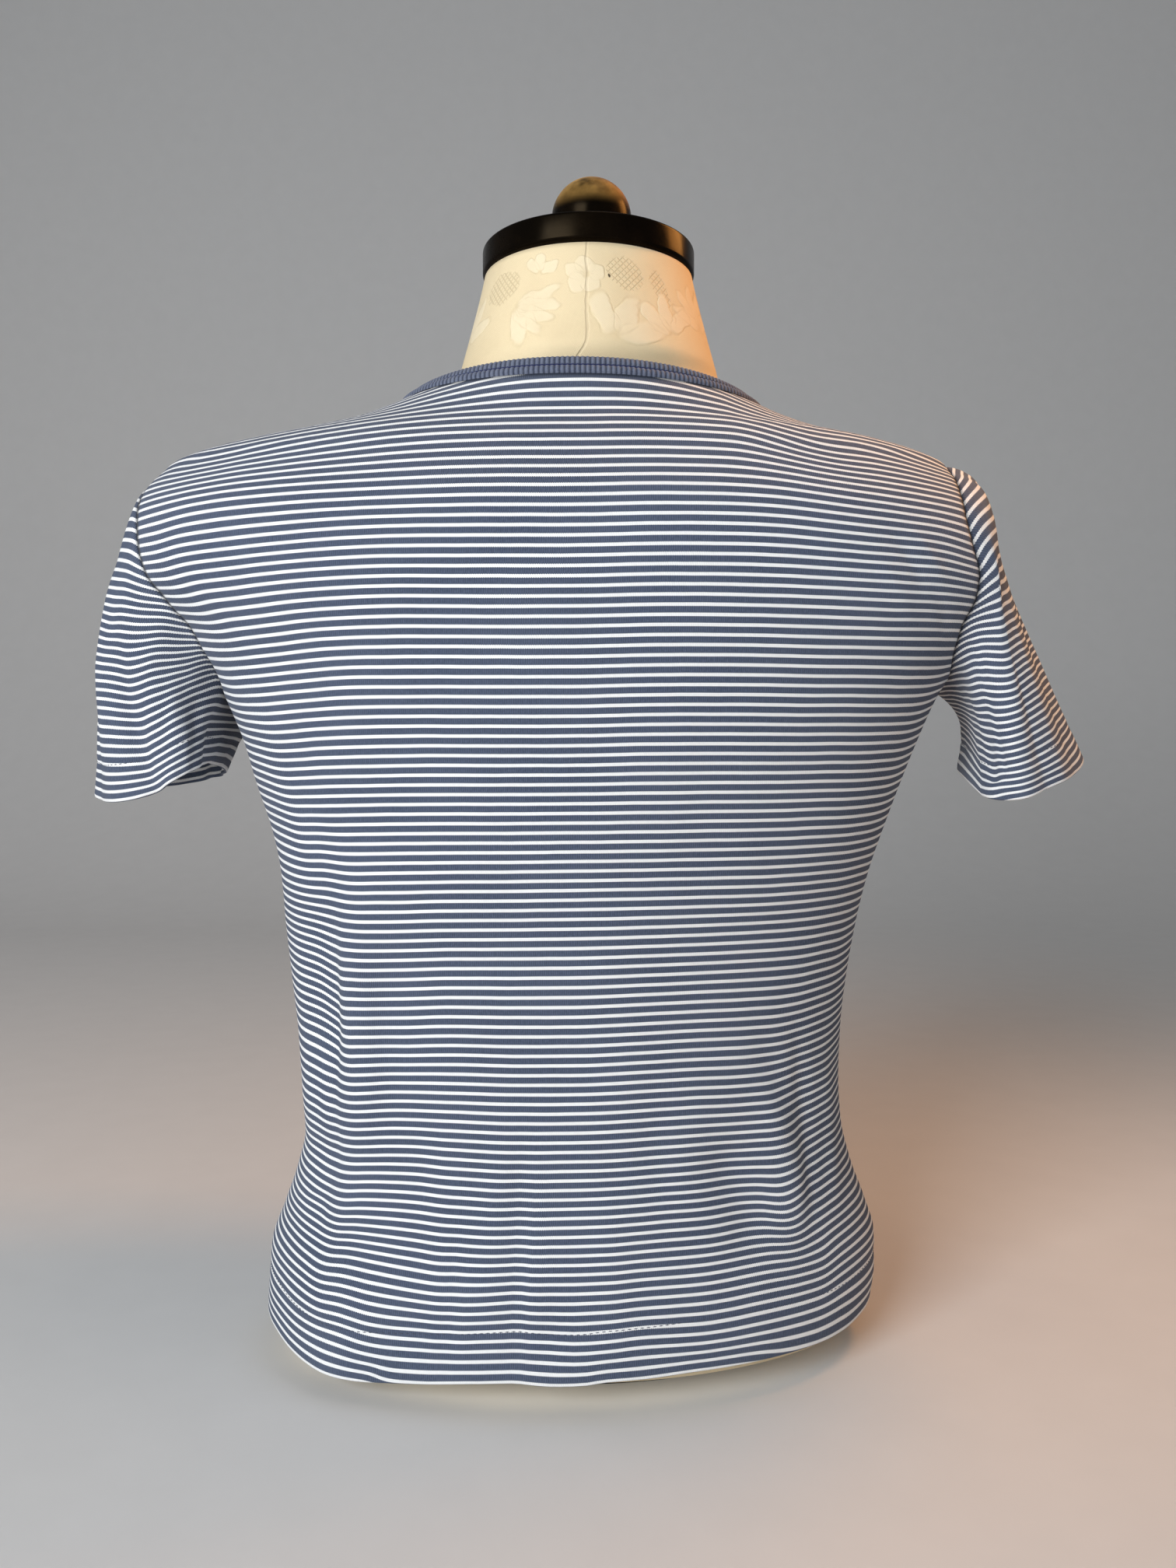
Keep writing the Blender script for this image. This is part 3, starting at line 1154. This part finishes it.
CREAM_SPECK = (0.10, 0.075, 0.04, 1)
GLOSS_BLACK = (0.0022, 0.0016, 0.0011, 1)
GLOSS_WORN = (0.0080, 0.0048, 0.0026, 1)
RUBBED_BRONZE = (0.70, 0.40, 0.11, 1)
FLOOR_GREY = (0.70, 0.70, 0.69, 1)
FLOOR_PALE = (0.74, 0.74, 0.73, 1)
KNIT_RIB = 0.00092          # a knit rib of the striped cloth in its cut
KNIT_COURSE = 0.00058       # a knit course of the same


def striped_knit():
    """Blue and white stripes along the cut's height, over a fine knit."""
    r = Recipe("striped_knit")
    cut, across, up = r.cut_map()
    ribs = r.wave(across, KNIT_RIB)
    wander = r.noise(cut, 60.0, 2.0)
    edge = r.times(ribs, 0.00012)
    sway = r.times(r.minus(wander, 0.5), 0.00028)
    level = r.plus(r.plus(up, edge), sway)
    turns = r.maths("DIVIDE", level, PITCH)
    saw = r.maths("FRACT", r.plus(turns, 100.5))
    away = r.away_from(saw, 0.5)
    white = r.spread(away, WHITE / 2 + 0.022, WHITE / 2 - 0.022, soft=True)
    melange = r.noise(cut, 900.0, 2.0, 0.6)
    patch = r.noise(cut, 22.0, 3.0, 0.55)
    blue = r.blend(r.spread(melange, 0.32, 0.70), NAVY_DEEP, NAVY)
    blue = r.blend(r.spread(patch, 0.35, 0.70, 0.0, 0.45), blue, NAVY_WORN)
    groove = r.spread(ribs, -1.0, 0.2, 0.66, 1.0)
    blue = r.shade(blue, groove)
    chalk = r.blend(r.spread(melange, 0.30, 0.75, 0.0, 0.5), CHALK, CHALK_DULL)
    colour = r.blend(white, blue, chalk)
    seam = r.node("ShaderNodeAttribute", attribute_name="seam").outputs["Fac"]
    colour = r.shade(colour, r.minus(1.0, r.times(seam, 0.90)))
    courses = r.wave(up, KNIT_COURSE)
    loops = r.plus(r.times(ribs, 0.6), r.times(courses, 0.35))
    fuzz = r.times(melange, 0.8)
    relief = r.plus(r.plus(loops, fuzz), r.times(white, 0.5))
    return r.finish(
        Base_Color=colour, Roughness=0.90, Normal=r.bump(relief, 0.00012, 0.55),
        Sheen_Weight=0.10, Sheen_Roughness=0.55, Specular_IOR_Level=0.14,
    )


def band_knit():
    """The neck band's ribbed knit, with its dark line between the two rolls."""
    r = Recipe("blue_rib")
    cut, across, up = r.cut_map()
    melange = r.noise(cut, 1100.0, 2.0, 0.6)
    stagger = r.noise(cut, 150.0, 2.0, 0.5)
    colour = r.blend(r.spread(melange, 0.3, 0.7), BAND_DEEP, BAND_BLUE)
    ribs = r.wave(r.plus(across, RIB_PITCH / 4), RIB_PITCH)
    colour = r.blend(r.spread(ribs, 0.1, 0.9, 0.0, 0.6), colour, BAND_WORN)
    colour = r.blend(r.spread(stagger, 0.45, 0.66, 0.0, 0.35), colour, BAND_WORN)
    colour = r.shade(colour, r.spread(ribs, -0.9, -0.1, 0.42, 1.0))
    middle = r.away_from(up, BAND_MIDDLE)
    line = r.spread(middle, 0.0009, 0.0003, soft=True)
    colour = r.blend(line, colour, BAND_LINE)
    courses = r.wave(up, 0.00075)
    relief = r.plus(r.times(courses, 0.5), melange)
    return r.finish(
        Base_Color=colour, Roughness=0.88, Normal=r.bump(relief, 0.00012, 0.6),
        Sheen_Weight=0.12, Sheen_Roughness=0.5, Specular_IOR_Level=0.15,
    )


def sewing_thread():
    r = Recipe("sewing_thread")
    fibre = r.noise(r.object_place(), 2400.0, 2.0)
    colour = r.blend(fibre, THREAD_DARK, THREAD_PALE)
    return r.finish(Base_Color=colour, Roughness=0.6, Sheen_Weight=0.15)


# The cover's woven figures in its own measures: where each spray of petals starts,
# their number, length and half width, the first one's turn and the turn between two.
SPRAYS = [
    (-0.0330, 0.4790, 5, 0.0115, 0.0036, -1.30, 0.40),
    (-0.0230, 0.4945, 3, 0.0050, 0.0030, 0.30, 1.10),
    (-0.0015, 0.4900, 5, 0.0050, 0.0040, 0.20, 1.26),
    (0.0105, 0.4600, 3, 0.0120, 0.0052, 0.30, 0.80),
    (0.0370, 0.4660, 3, 0.0100, 0.0044, 0.90, 0.80),
    (0.0600, 0.4740, 5, 0.0110, 0.0040, 0.60, 0.55),
    (-0.0700, 0.4720, 4, 0.0110, 0.0044, 0.20, 0.75),
    (0.0950, 0.4700, 5, 0.0120, 0.0044, 0.80, 0.60),
    (-0.1080, 0.4700, 5, 0.0120, 0.0044, 0.50, 0.70),
    (0.1330, 0.4760, 4, 0.0120, 0.0046, 0.30, 0.80),
    (-0.1450, 0.4760, 4, 0.0120, 0.0046, 0.10, 0.90),
]
LATTICES = [
    (0.0175, 0.4920, 0.0100, 0.0080, -0.5),
    (0.0345, 0.4860, 0.0050, 0.0110, 0.2),
    (-0.0440, 0.4900, 0.0110, 0.0080, 0.3),
    (0.0720, 0.4880, 0.0120, 0.0080, 0.0),
    (-0.0860, 0.4880, 0.0110, 0.0080, 0.0),
    (0.1120, 0.4900, 0.0100, 0.0080, 0.2),
    (-0.1400, 0.4880, 0.0120, 0.0080, 0.0),
]


def oval(r, across, up, x, z, long, wide, angle):
    """Distance from an oval's middle, 1 on its rim."""
    c, s = math.cos(angle), math.sin(angle)
    dx = r.minus(across, x)
    dz = r.minus(up, z)
    a = r.plus(r.times(dx, c / long), r.times(dz, s / long))
    b = r.plus(r.times(dx, -s / wide), r.times(dz, c / wide))
    return r.maths("SQRT", r.plus(r.times(a, a), r.times(b, b)))


def jacquard_cover():
    """Cream cover with a woven pattern of petals and lattices, tone on tone."""
    r = Recipe("cream_cover")
    cut, across, up = r.cut_map()
    drift = r.times(r.minus(r.noise(cut, 85.0, 2.0), 0.5), 0.0090)
    lift = r.times(r.minus(r.noise(cut, 70.0, 2.0), 0.5), -0.0080)
    bent_x = r.plus(across, drift)
    bent_z = r.plus(up, lift)
    rims, fills = [], []
    for x, z, count, long, wide, start, turn in SPRAYS:
        for k in range(count):
            a = start + turn * k
            away = oval(
                r, bent_x, bent_z, x + math.cos(a) * long, z + math.sin(a) * long,
                long * 0.90, wide, a,
            )
            off = r.away_from(away, 1.0)
            rims.append(r.spread(off, 0.12, 0.02, soft=True))
            fills.append(r.spread(away, 1.02, 0.78, soft=True))
    rim = r.largest(rims)
    inside = r.largest(fills)
    patches = [
        r.spread(oval(r, bent_x, bent_z, *patch), 1.0, 0.85, soft=True) for patch in LATTICES
    ]
    cell = 0.0060
    one = r.maths("ABSOLUTE", r.wave(r.plus(across, up), cell))
    two = r.maths("ABSOLUTE", r.wave(r.minus(across, up), cell))
    lattice = r.spread(r.maths("MINIMUM", one, two), 0.55, 0.10, soft=True)
    where = r.times(r.largest(patches), r.minus(1.0, inside))
    lattice = r.times(lattice, where)
    broken = r.spread(r.noise(cut, 210.0, 2.0), 0.38, 0.62, 0.15, 1.0)
    figure = r.times(r.times(rim, 0.48), broken)
    figure = r.maths("MAXIMUM", figure, lattice)
    grain = r.noise(cut, 1500.0, 2.0, 0.6)
    warp = r.times(r.wave(across, 0.0007), r.wave(up, 0.0007))
    base = r.blend(grain, CREAM_LOW, CREAM_HIGH)
    base = r.blend(r.times(inside, 0.38), base, CREAM_PETAL)
    base = r.blend(r.times(figure, 0.50), base, CREAM_FIGURE)
    stain = r.spread(r.noise(cut, 34.0, 4.0, 0.6), 0.48, 0.72, 0.0, 0.35)
    base = r.blend(stain, base, CREAM_STAIN)
    bent_seam = r.plus(across, r.times(drift, 0.3))
    seam = r.spread(r.away_from(bent_seam, -0.0006), 0.0009, 0.0002, soft=True)
    base = r.blend(r.times(seam, 0.16), base, CREAM_SEAM)
    speck = oval(r, across, up, 0.0093, 0.4900, 0.00055, 0.0010, 0.3)
    base = r.blend(r.spread(speck, 1.1, 0.8, soft=True), base, CREAM_SPECK)
    relief = r.minus(r.times(warp, 0.25), figure)
    relief = r.minus(relief, r.times(seam, 1.6))
    relief = r.plus(relief, r.times(inside, 0.9))
    return r.finish(
        Base_Color=base, Roughness=0.58, Normal=r.bump(relief, 0.00026, 0.75),
        Sheen_Weight=0.15, Sheen_Roughness=0.4, Specular_IOR_Level=0.25,
    )


def black_gloss():
    """Worn gloss black, rubbed to bronze at the top of the knob."""
    r = Recipe("black_gloss")
    place = r.object_place()
    wear = r.noise(place, 38.0, 5.0, 0.6)
    dust = r.noise(place, 700.0, 2.0, 0.7)
    worn = r.spread(wear, 0.45, 0.75, 0.0, 0.6)
    colour = r.blend(worn, GLOSS_BLACK, GLOSS_WORN)
    high = r.node("ShaderNodeSeparateXYZ", {"Vector": place}).outputs[2]
    rub = r.spread(high, KNOB_RUB - 0.003, KNOB_RUB + 0.011, soft=True)
    rub = r.times(rub, r.spread(r.noise(place, 70.0, 3.0, 0.5), 0.22, 0.58))
    colour = r.blend(r.times(rub, 0.75), colour, RUBBED_BRONZE)
    rough = r.spread(r.plus(wear, r.times(dust, 0.3)), 0.4, 0.95, 0.14, 0.34)
    return r.finish(
        Base_Color=colour, Roughness=rough, Normal=r.bump(r.noise(place, 60.0, 3.0), 0.0004, 0.25),
        Specular_IOR_Level=0.05, Specular_Tint=(1.0, 0.72, 0.40, 1),
    )


def plain_floor():
    r = Recipe("studio_floor")
    speck = r.noise(r.object_place(), 30.0, 3.0)
    colour = r.blend(speck, FLOOR_GREY, FLOOR_PALE)
    return r.finish(Base_Color=colour, Roughness=0.9)


# ---------------------------------------------------------------- the tee
def panel_cut(points, height):
    """The cut's measures: across from the middle, and up."""
    across = steps_between(points, 1)
    across = across - across[:, COLUMNS // 2: COLUMNS // 2 + 1]
    return np.stack([across, height], axis=-1)


def away_from_middle(p):
    return Vector((p.x, p.y, 0.0))


knit = striped_knit()
rib = band_knit()
thread = sewing_thread()
cover = jacquard_cover()
black = black_gloss()

back_points, back_normals, back_seam = panel_points(-1)
front_points, front_normals, front_seam = panel_points(1)
back_height = stripe_height(back_points[..., 0], back_points[..., 2])
back_up = steps_between(back_points, 0)
back_height = kept_to_pitch(back_height, climb(back_points, back_normals), 0.80, 1.30)
back_height = course_on_edge(back_height, back_up)
front_up = steps_between(front_points, 0)
shoulder = np.clip((front_points[1:, :, 2] - SHOULDER_FROM) / SHOULDER_OVER, 0, 1)
front_steps = climb(front_points, front_normals) * (1 - shoulder)
front_steps += np.diff(front_up, axis=0) * shoulder
front_height = np.full(front_up.shape, back_height[0, 0])
front_height[1:] += np.cumsum(front_steps, axis=0)
half_shares = np.clip(2 * np.linspace(0, 1, COLUMNS + 1) - 1, 0, 1) ** 2
for edge, shares in ((0, half_shares[::-1]), (-1, half_shares)):
    miss = back_height[:, edge] - front_height[:, edge]
    miss[ROWS_LOW:] = miss[ROWS_LOW]
    front_height = front_height + miss[:, None] * shares

back = (back_points, back_normals, back_height, back_seam)
front = (front_points, front_normals, front_height, front_seam)
for name, side, (points, normals, height, seam), node, area in (
    ("tee_back", -1, back, "back_panel", 0.182),
    ("tee_front", 1, front, "front_panel", 0.1745),
):
    grid, levels = with_turned_hem(points, normals, height, HEM_DEEP + TURN_UP)
    seam = np.concatenate([np.zeros((len(grid) - len(seam), COLUMNS + 1)), seam])
    piece = draped_grid(
        name, grid, panel_cut(grid, levels), knit,
        lambda p, s=side: Vector((0, s, 0)), seam=seam,
    )
    thicken(piece, KNIT)
    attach(piece, "root")
    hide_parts(node)


def turn_sleeve_out(piece):
    """Turn the sleeve's faces outwards, judged by its rings near the armhole."""
    bm = bmesh.new()
    bm.from_mesh(piece.data)
    rings = {}
    for face in bm.faces:
        middle = face.calc_center_median()
        if abs(middle.z - 0.32) < 0.02:
            rings.setdefault(round(middle.z, 2), []).append((middle, face.normal))
    lean = 0.0
    for ring in rings.values():
        hub = sum((middle for middle, _ in ring), Vector()) / len(ring)
        lean += sum(normal.dot(middle - hub) for middle, normal in ring)
    if lean < 0:
        bmesh.ops.reverse_faces(bm, faces=bm.faces)
    bm.to_mesh(piece.data)
    bm.free()


def once_round(values):
    """The rows closed by their own first column."""
    return np.concatenate([values, values[:, :1]], axis=1)


creases_left = SLEEVE_CREASES_LEFT + FINE_SLEEVE_LEFT
creases_right = SLEEVE_CREASES_RIGHT + FINE_SLEEVE_RIGHT
sleeves = {}
for name, hand, table, creases, drag, node in (
    ("tee_sleeve_left", -1, HEM_LEFT, creases_left, SLEEVE_DRAG_LEFT, "sleeve_left"),
    ("tee_sleeve_right", 1, HEM_RIGHT, creases_right, SLEEVE_DRAG_RIGHT, "sleeve_right"),
):
    grid, normals, shares, seam = sleeve_points(
        hand, (back_points, back_normals), (front_points, front_normals), table, creases
    )
    grid, normals, seam = grid[::-1], normals[::-1], seam[::-1]
    walked = steps_between(grid, 0)
    height = walked + sleeve_drag(drag, shares, walked) - COURSE_SHIFT
    height = kept_to_pitch(height, np.diff(walked, axis=0), 0.70, 1.45)
    height = course_on_edge(height, walked)
    sleeves[name] = (grid, normals)
    grid, levels = with_turned_hem(grid, normals, height, CUFF_DEEP + TURN_UP)
    seam = np.concatenate([np.zeros((len(grid) - len(seam), len(shares))), seam])
    across = np.tile(np.append(shares, 1.0) * SLEEVE_CUT, (len(grid), 1))
    piece = draped_grid(
        name, once_round(grid), np.stack([across, once_round(levels)], axis=-1), knit,
        seam=once_round(seam), weld=True,
    )
    turn_sleeve_out(piece)
    thicken(piece, KNIT)
    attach(piece, "root")
    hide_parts(node)


# ---------------------------------------------------------------- the hem stitches
def line_above_hem(points, normals, above):
    """Places on the cloth at a walked height above its hem, and their normals."""
    walked = steps_between(points, 0)
    return np.stack([row_at(points, walked, above), row_at(normals, walked, above)])


hem_back = line_above_hem(back_points, back_normals, HEM_DEEP)
hem_front = line_above_hem(front_points, front_normals, HEM_DEEP)[:, ::-1]
paths = {"hem_stitches": np.concatenate([hem_back, hem_front[:, 1:-1]], axis=1)}
for name, (points, normals) in sleeves.items():
    hand = name.rsplit("_", 1)[1]
    paths["cuff_stitches_" + hand] = line_above_hem(points, normals, CUFF_DEEP)
for name, (path, normals) in paths.items():
    piece = stitches(
        name, path + normals * STITCH_RISE, normals, STITCH_LONG, STITCH_GAP, STITCH_THICK,
        thread,
    )
    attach(piece, "root")


# ---------------------------------------------------------------- the neck band
def neck_edge():
    """The neckline's closed seam with the band's upward and outward directions."""
    half = COLUMNS // 2
    nb, nf = neck_steps(-1), neck_steps(1)
    edge, way, wall = [], [], []

    def add(p, q, n):
        step = p - q
        step = step - n * np.dot(step, n)
        edge.append(p)
        way.append(step / np.linalg.norm(step))
        wall.append(n)

    def corner(hand):
        i = half + hand * nb
        k = half + hand * nf
        p = 0.5 * (back_points[-1, i] + front_points[-1, k])
        q = p + np.array([hand * 0.01, 0.0, -0.0028])
        add(p, q, 0.5 * (back_normals[-1, i] + front_normals[-1, k]))

    corner(-1)
    for i in range(half - nb + 1, half + nb):
        add(back_points[-1, i], back_points[-5, i], back_normals[-1, i])
    corner(1)
    for i in range(half + nf - 1, half - nf, -1):
        add(front_points[-1, i], front_points[-5, i], front_normals[-1, i])
    edge, way, wall = np.array(edge), np.array(way), np.array(wall)
    edge = edge + wall * 0.0006
    wall = unit(wall)
    way = square_to(edge, way)
    for _ in range(10):
        way = unit((np.roll(way, 1, axis=0) + 2 * way + np.roll(way, -1, axis=0)) / 4)
        wall = unit((np.roll(wall, 1, axis=0) + 2 * wall + np.roll(wall, -1, axis=0)) / 4)
    return edge, way, wall


def evenly(loop, values, count):
    """Values of a closed loop's points read at evenly spaced places along it."""
    closed = np.concatenate([loop, loop[:1]])
    walked = steps_between(closed, 0)
    even = np.linspace(0, walked[-1], count + 1)
    out = []
    for data in values:
        data = np.concatenate([data, data[:1]])
        out.append(np.stack([np.interp(even, walked, data[:, k]) for k in range(3)], axis=-1))
    return even, out


edge, way, wall = neck_edge()
band_even, (edge, way, wall) = evenly(edge, (edge, way, wall), RIB_COUNT * RIB_STEPS)
way, wall = unit(way), unit(wall)
rib_turns = np.linspace(0, RIB_COUNT, RIB_COUNT * RIB_STEPS + 1)
ribbing = np.cos(2 * math.pi * rib_turns)
band_rows, band_levels = [], []
before = np.array([0.0, ROLL_RISE * BAND_PROFILE[0][1]])
walked = 0.0
for share, rise in BAND_PROFILE:
    ridge = ribbing * (RIB_RISE if rise > -0.5 else 0.0)
    foot = edge + way * (SEAM + RIB_WIDTH * share)
    band_rows.append(foot + wall * (ROLL_RISE * rise + ridge)[:, None])
    here = np.array([RIB_WIDTH * share, ROLL_RISE * rise])
    walked += float(np.linalg.norm(here - before))
    before = here
    band_levels.append(walked)
band_grid = np.array(band_rows)
band_cut = np.stack(
    [np.tile(rib_turns * RIB_PITCH, (len(band_grid), 1)),
     np.repeat(np.array(band_levels)[:, None], len(band_even), 1)],
    axis=-1,
)
band = draped_grid("tee_neck_band", band_grid, band_cut, rib, weld=True)
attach(band, "root")
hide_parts("neck_rib")


# ---------------------------------------------------------------- the dress form
def eased(value, low, over):
    """0 below the low value, 1 once it is passed by the given stretch."""
    return min(max((value - low) / over, 0.0), 1.0)


def form_rings():
    """Rings of the form's torso and neck, from its base to its cap."""
    heights = np.concatenate([
        [PLATE_HEIGHT + SEAM], np.arange(0.018, 0.30, 0.009), np.arange(0.30, 0.44, 0.0045),
        np.arange(0.44, CAP_LOW - SEAM - 0.001, 0.0022), [CAP_LOW - SEAM],
    ])
    angle = np.linspace(0, 2 * math.pi, FORM_COLUMNS + 1) + math.pi / 2
    c, s = np.cos(angle), np.sin(angle)
    rings = []
    for z in heights:
        up = z + (FORM_DROP if 0.33 < z < 0.46 else 0.0)
        gap = FORM_GAP + 0.006 * math.exp(-((z - 0.10) / 0.09) ** 2)    # slimmer waist
        left, right, back, front = (
            float(read_curve(BODY[column], up)) - gap
            for column in ("left", "right", "back", "front")
        )
        arm = eased(z, 0.300, 0.03)
        stump = 0.1715 - 0.9 * max(z - 0.392, 0.0)      # closed arms, not the sleeves' width
        left = left + (min(left, stump) - left) * arm
        right = right + (min(right, stump - 0.006) - right) * arm
        n = squareness(np.sign(c), up)
        x = np.sign(c) * np.abs(c) ** (2 / n) * np.where(c < 0, left, right)
        y = np.sign(s) * np.abs(s) ** (2 / n) * np.where(s < 0, back, front)
        below_cap = max(CAP_LOW - z, 0.0) / NECK_TALL
        neck_r = NECK_RADIUS + NECK_FLARE * below_cap ** 1.1
        throat = np.where(s > 0, 0.16 * max(CAP_LOW - z, 0.0) / NECK_TALL, 0.0)
        nx = NECK_X + neck_r * c
        ny = neck_r * s * (0.98 - throat)
        neck = eased(z, 0.446, 0.0135)
        neck = neck * neck * (3 - 2 * neck)
        rings.append(np.stack(
            [x + (nx - x) * neck, y + (ny - y) * neck, np.full(len(angle), z)], axis=-1
        ))
    return np.array(rings)


rings = form_rings()
COVER_RADIUS = 0.054        # the cover's width is measured round the neck at this radius
form_cut = np.stack([
    np.tile(np.linspace(-math.pi, math.pi, rings.shape[1]) * COVER_RADIUS, (len(rings), 1)),
    rings[..., 2],
], axis=-1)
form = draped_grid(
    "dress_form", rings, form_cut, cover, away_from_middle, weld=True, ends=True,
)
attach(form, "root")
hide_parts("form_torso")

cap_profile = rounded(
    [(0.0, CAP_LOW), (0.0490, CAP_LOW), (CAP_RADIUS, CAP_LOW + 0.0012),
     (CAP_RADIUS, CAP_HIGH), (0.0478, CAP_HIGH), (0.0, CAP_HIGH)], 0.0026
)
cap = spun("neck_cap", cap_profile, black, (NECK_X, 0.0), 128)
knob_base = CAP_HIGH + SEAM
knob_centre = knob_base + KNOB_RADIUS * 0.86
knob_profile = [(0.0, knob_base), (0.0108, knob_base), (0.0112, knob_base + 0.0010)]
for k in range(33):
    a = math.pi * (k / 32 - 0.5)
    z = knob_centre + KNOB_RADIUS * math.sin(a)
    if z > knob_base + 0.0016:
        knob_profile.append((KNOB_RADIUS * math.cos(a), z))
knob_profile[-1] = (0.0, knob_centre + KNOB_RADIUS)
knob = spun("cap_knob", knob_profile, black, (KNOB_X, 0.0), 96)
plate_profile = rounded(
    [(0.0, 0.0), (1.0, 0.0), (1.0, PLATE_HEIGHT), (0.0, PLATE_HEIGHT)], 0.022
)
plate = spun("base_plate", plate_profile, black, (0.0, 0.0), 128)
for v in plate.data.vertices:
    v.co.x *= PLATE_HALF[0]
    v.co.y *= PLATE_HALF[1]
for piece, node in ((cap, "form_neck_cap"), (knob, "form_knob"), (plate, "form_base")):
    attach(piece, "root")
    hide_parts(node)

# ---------------------------------------------------------------- studio
FLOOR_WIDE = 12.0
FLOOR_FROM = -5.0            # the floor's near edge
BEND_FROM, BEND_RADIUS = 1.4, 1.0
BEND_STEPS = 8               # the floor, its bend and the wall have as many rows each

floor_grid = bmesh.new()
bmesh.ops.create_grid(floor_grid, x_segments=1, y_segments=3 * BEND_STEPS, size=0.5)
for v in floor_grid.verts:
    t = (v.co.y + 0.5) * 3 * BEND_STEPS
    x = v.co.x * FLOOR_WIDE
    if t <= BEND_STEPS:
        y, z = FLOOR_FROM + t * 0.8, 0.0
    elif t <= 2 * BEND_STEPS:
        a = (t - BEND_STEPS) / BEND_STEPS * math.pi / 2
        y = BEND_FROM + BEND_RADIUS * math.sin(a)
        z = BEND_RADIUS - BEND_RADIUS * math.cos(a)
    else:
        y, z = BEND_FROM + BEND_RADIUS, BEND_RADIUS + (t - 2 * BEND_STEPS) * 0.5
    v.co = (x, y, z)
floor = place_on_scene("studio_floor", floor_grid, plain_floor())

world = bpy.data.worlds.new("studio")
bpy.context.scene.world = world
world.use_nodes = True
sky = world.node_tree.nodes["Background"]
sky.inputs["Color"].default_value = (0.92, 0.93, 0.96, 1)
sky.inputs["Strength"].default_value = 0.21


def soft_light(name, place, aim, size, power, colour):
    lamp = bpy.data.lights.new(name, "AREA")
    lamp.shape = "RECTANGLE"
    lamp.size, lamp.size_y = size
    lamp.energy = power
    lamp.color = colour
    held = bpy.data.objects.new(name, lamp)
    bpy.context.scene.collection.objects.link(held)
    held.location = place
    held.rotation_euler = (Vector(aim) - Vector(place)).to_track_quat("-Z", "Y").to_euler()


soft_light("window", (-1.10, -1.80, 0.88), (0, 0, 0.25), (1.1, 1.1), 49, (0.93, 0.96, 1.0))
soft_light("lamp_right", (0.45, 0.10, 0.75), (0.08, 0, 0.44), (0.2, 0.2), 2.4, (1.0, 0.42, 0.10))
soft_light("lamp_top", (0.20, -0.20, 1.60), (0, 0, 0.4), (0.5, 0.5), 1.4, (1.0, 0.66, 0.38))

PHOTO_TALL = 2016            # height of the photograph in pixels
PHOTO_FOCUS = 1640           # its focal length in the same pixels
PHOTO_LEVEL = 975            # row of the camera's own height in it

camera = bpy.data.cameras.new("camera")
camera.sensor_fit = "AUTO"
camera.sensor_width = 24.0
camera.lens = camera.sensor_width * PHOTO_FOCUS / PHOTO_TALL
camera.shift_y = -(PHOTO_TALL / 2 - PHOTO_LEVEL) / PHOTO_TALL
camera.clip_start = 0.01
camera_held = bpy.data.objects.new("camera", camera)
bpy.context.scene.collection.objects.link(camera_held)
camera_held.location = (0.006, -0.62, 0.275)
camera_held.rotation_euler = (math.pi / 2, 0, 0)
bpy.context.scene.camera = camera_held

bpy.context.scene.view_settings.view_transform = "Standard"
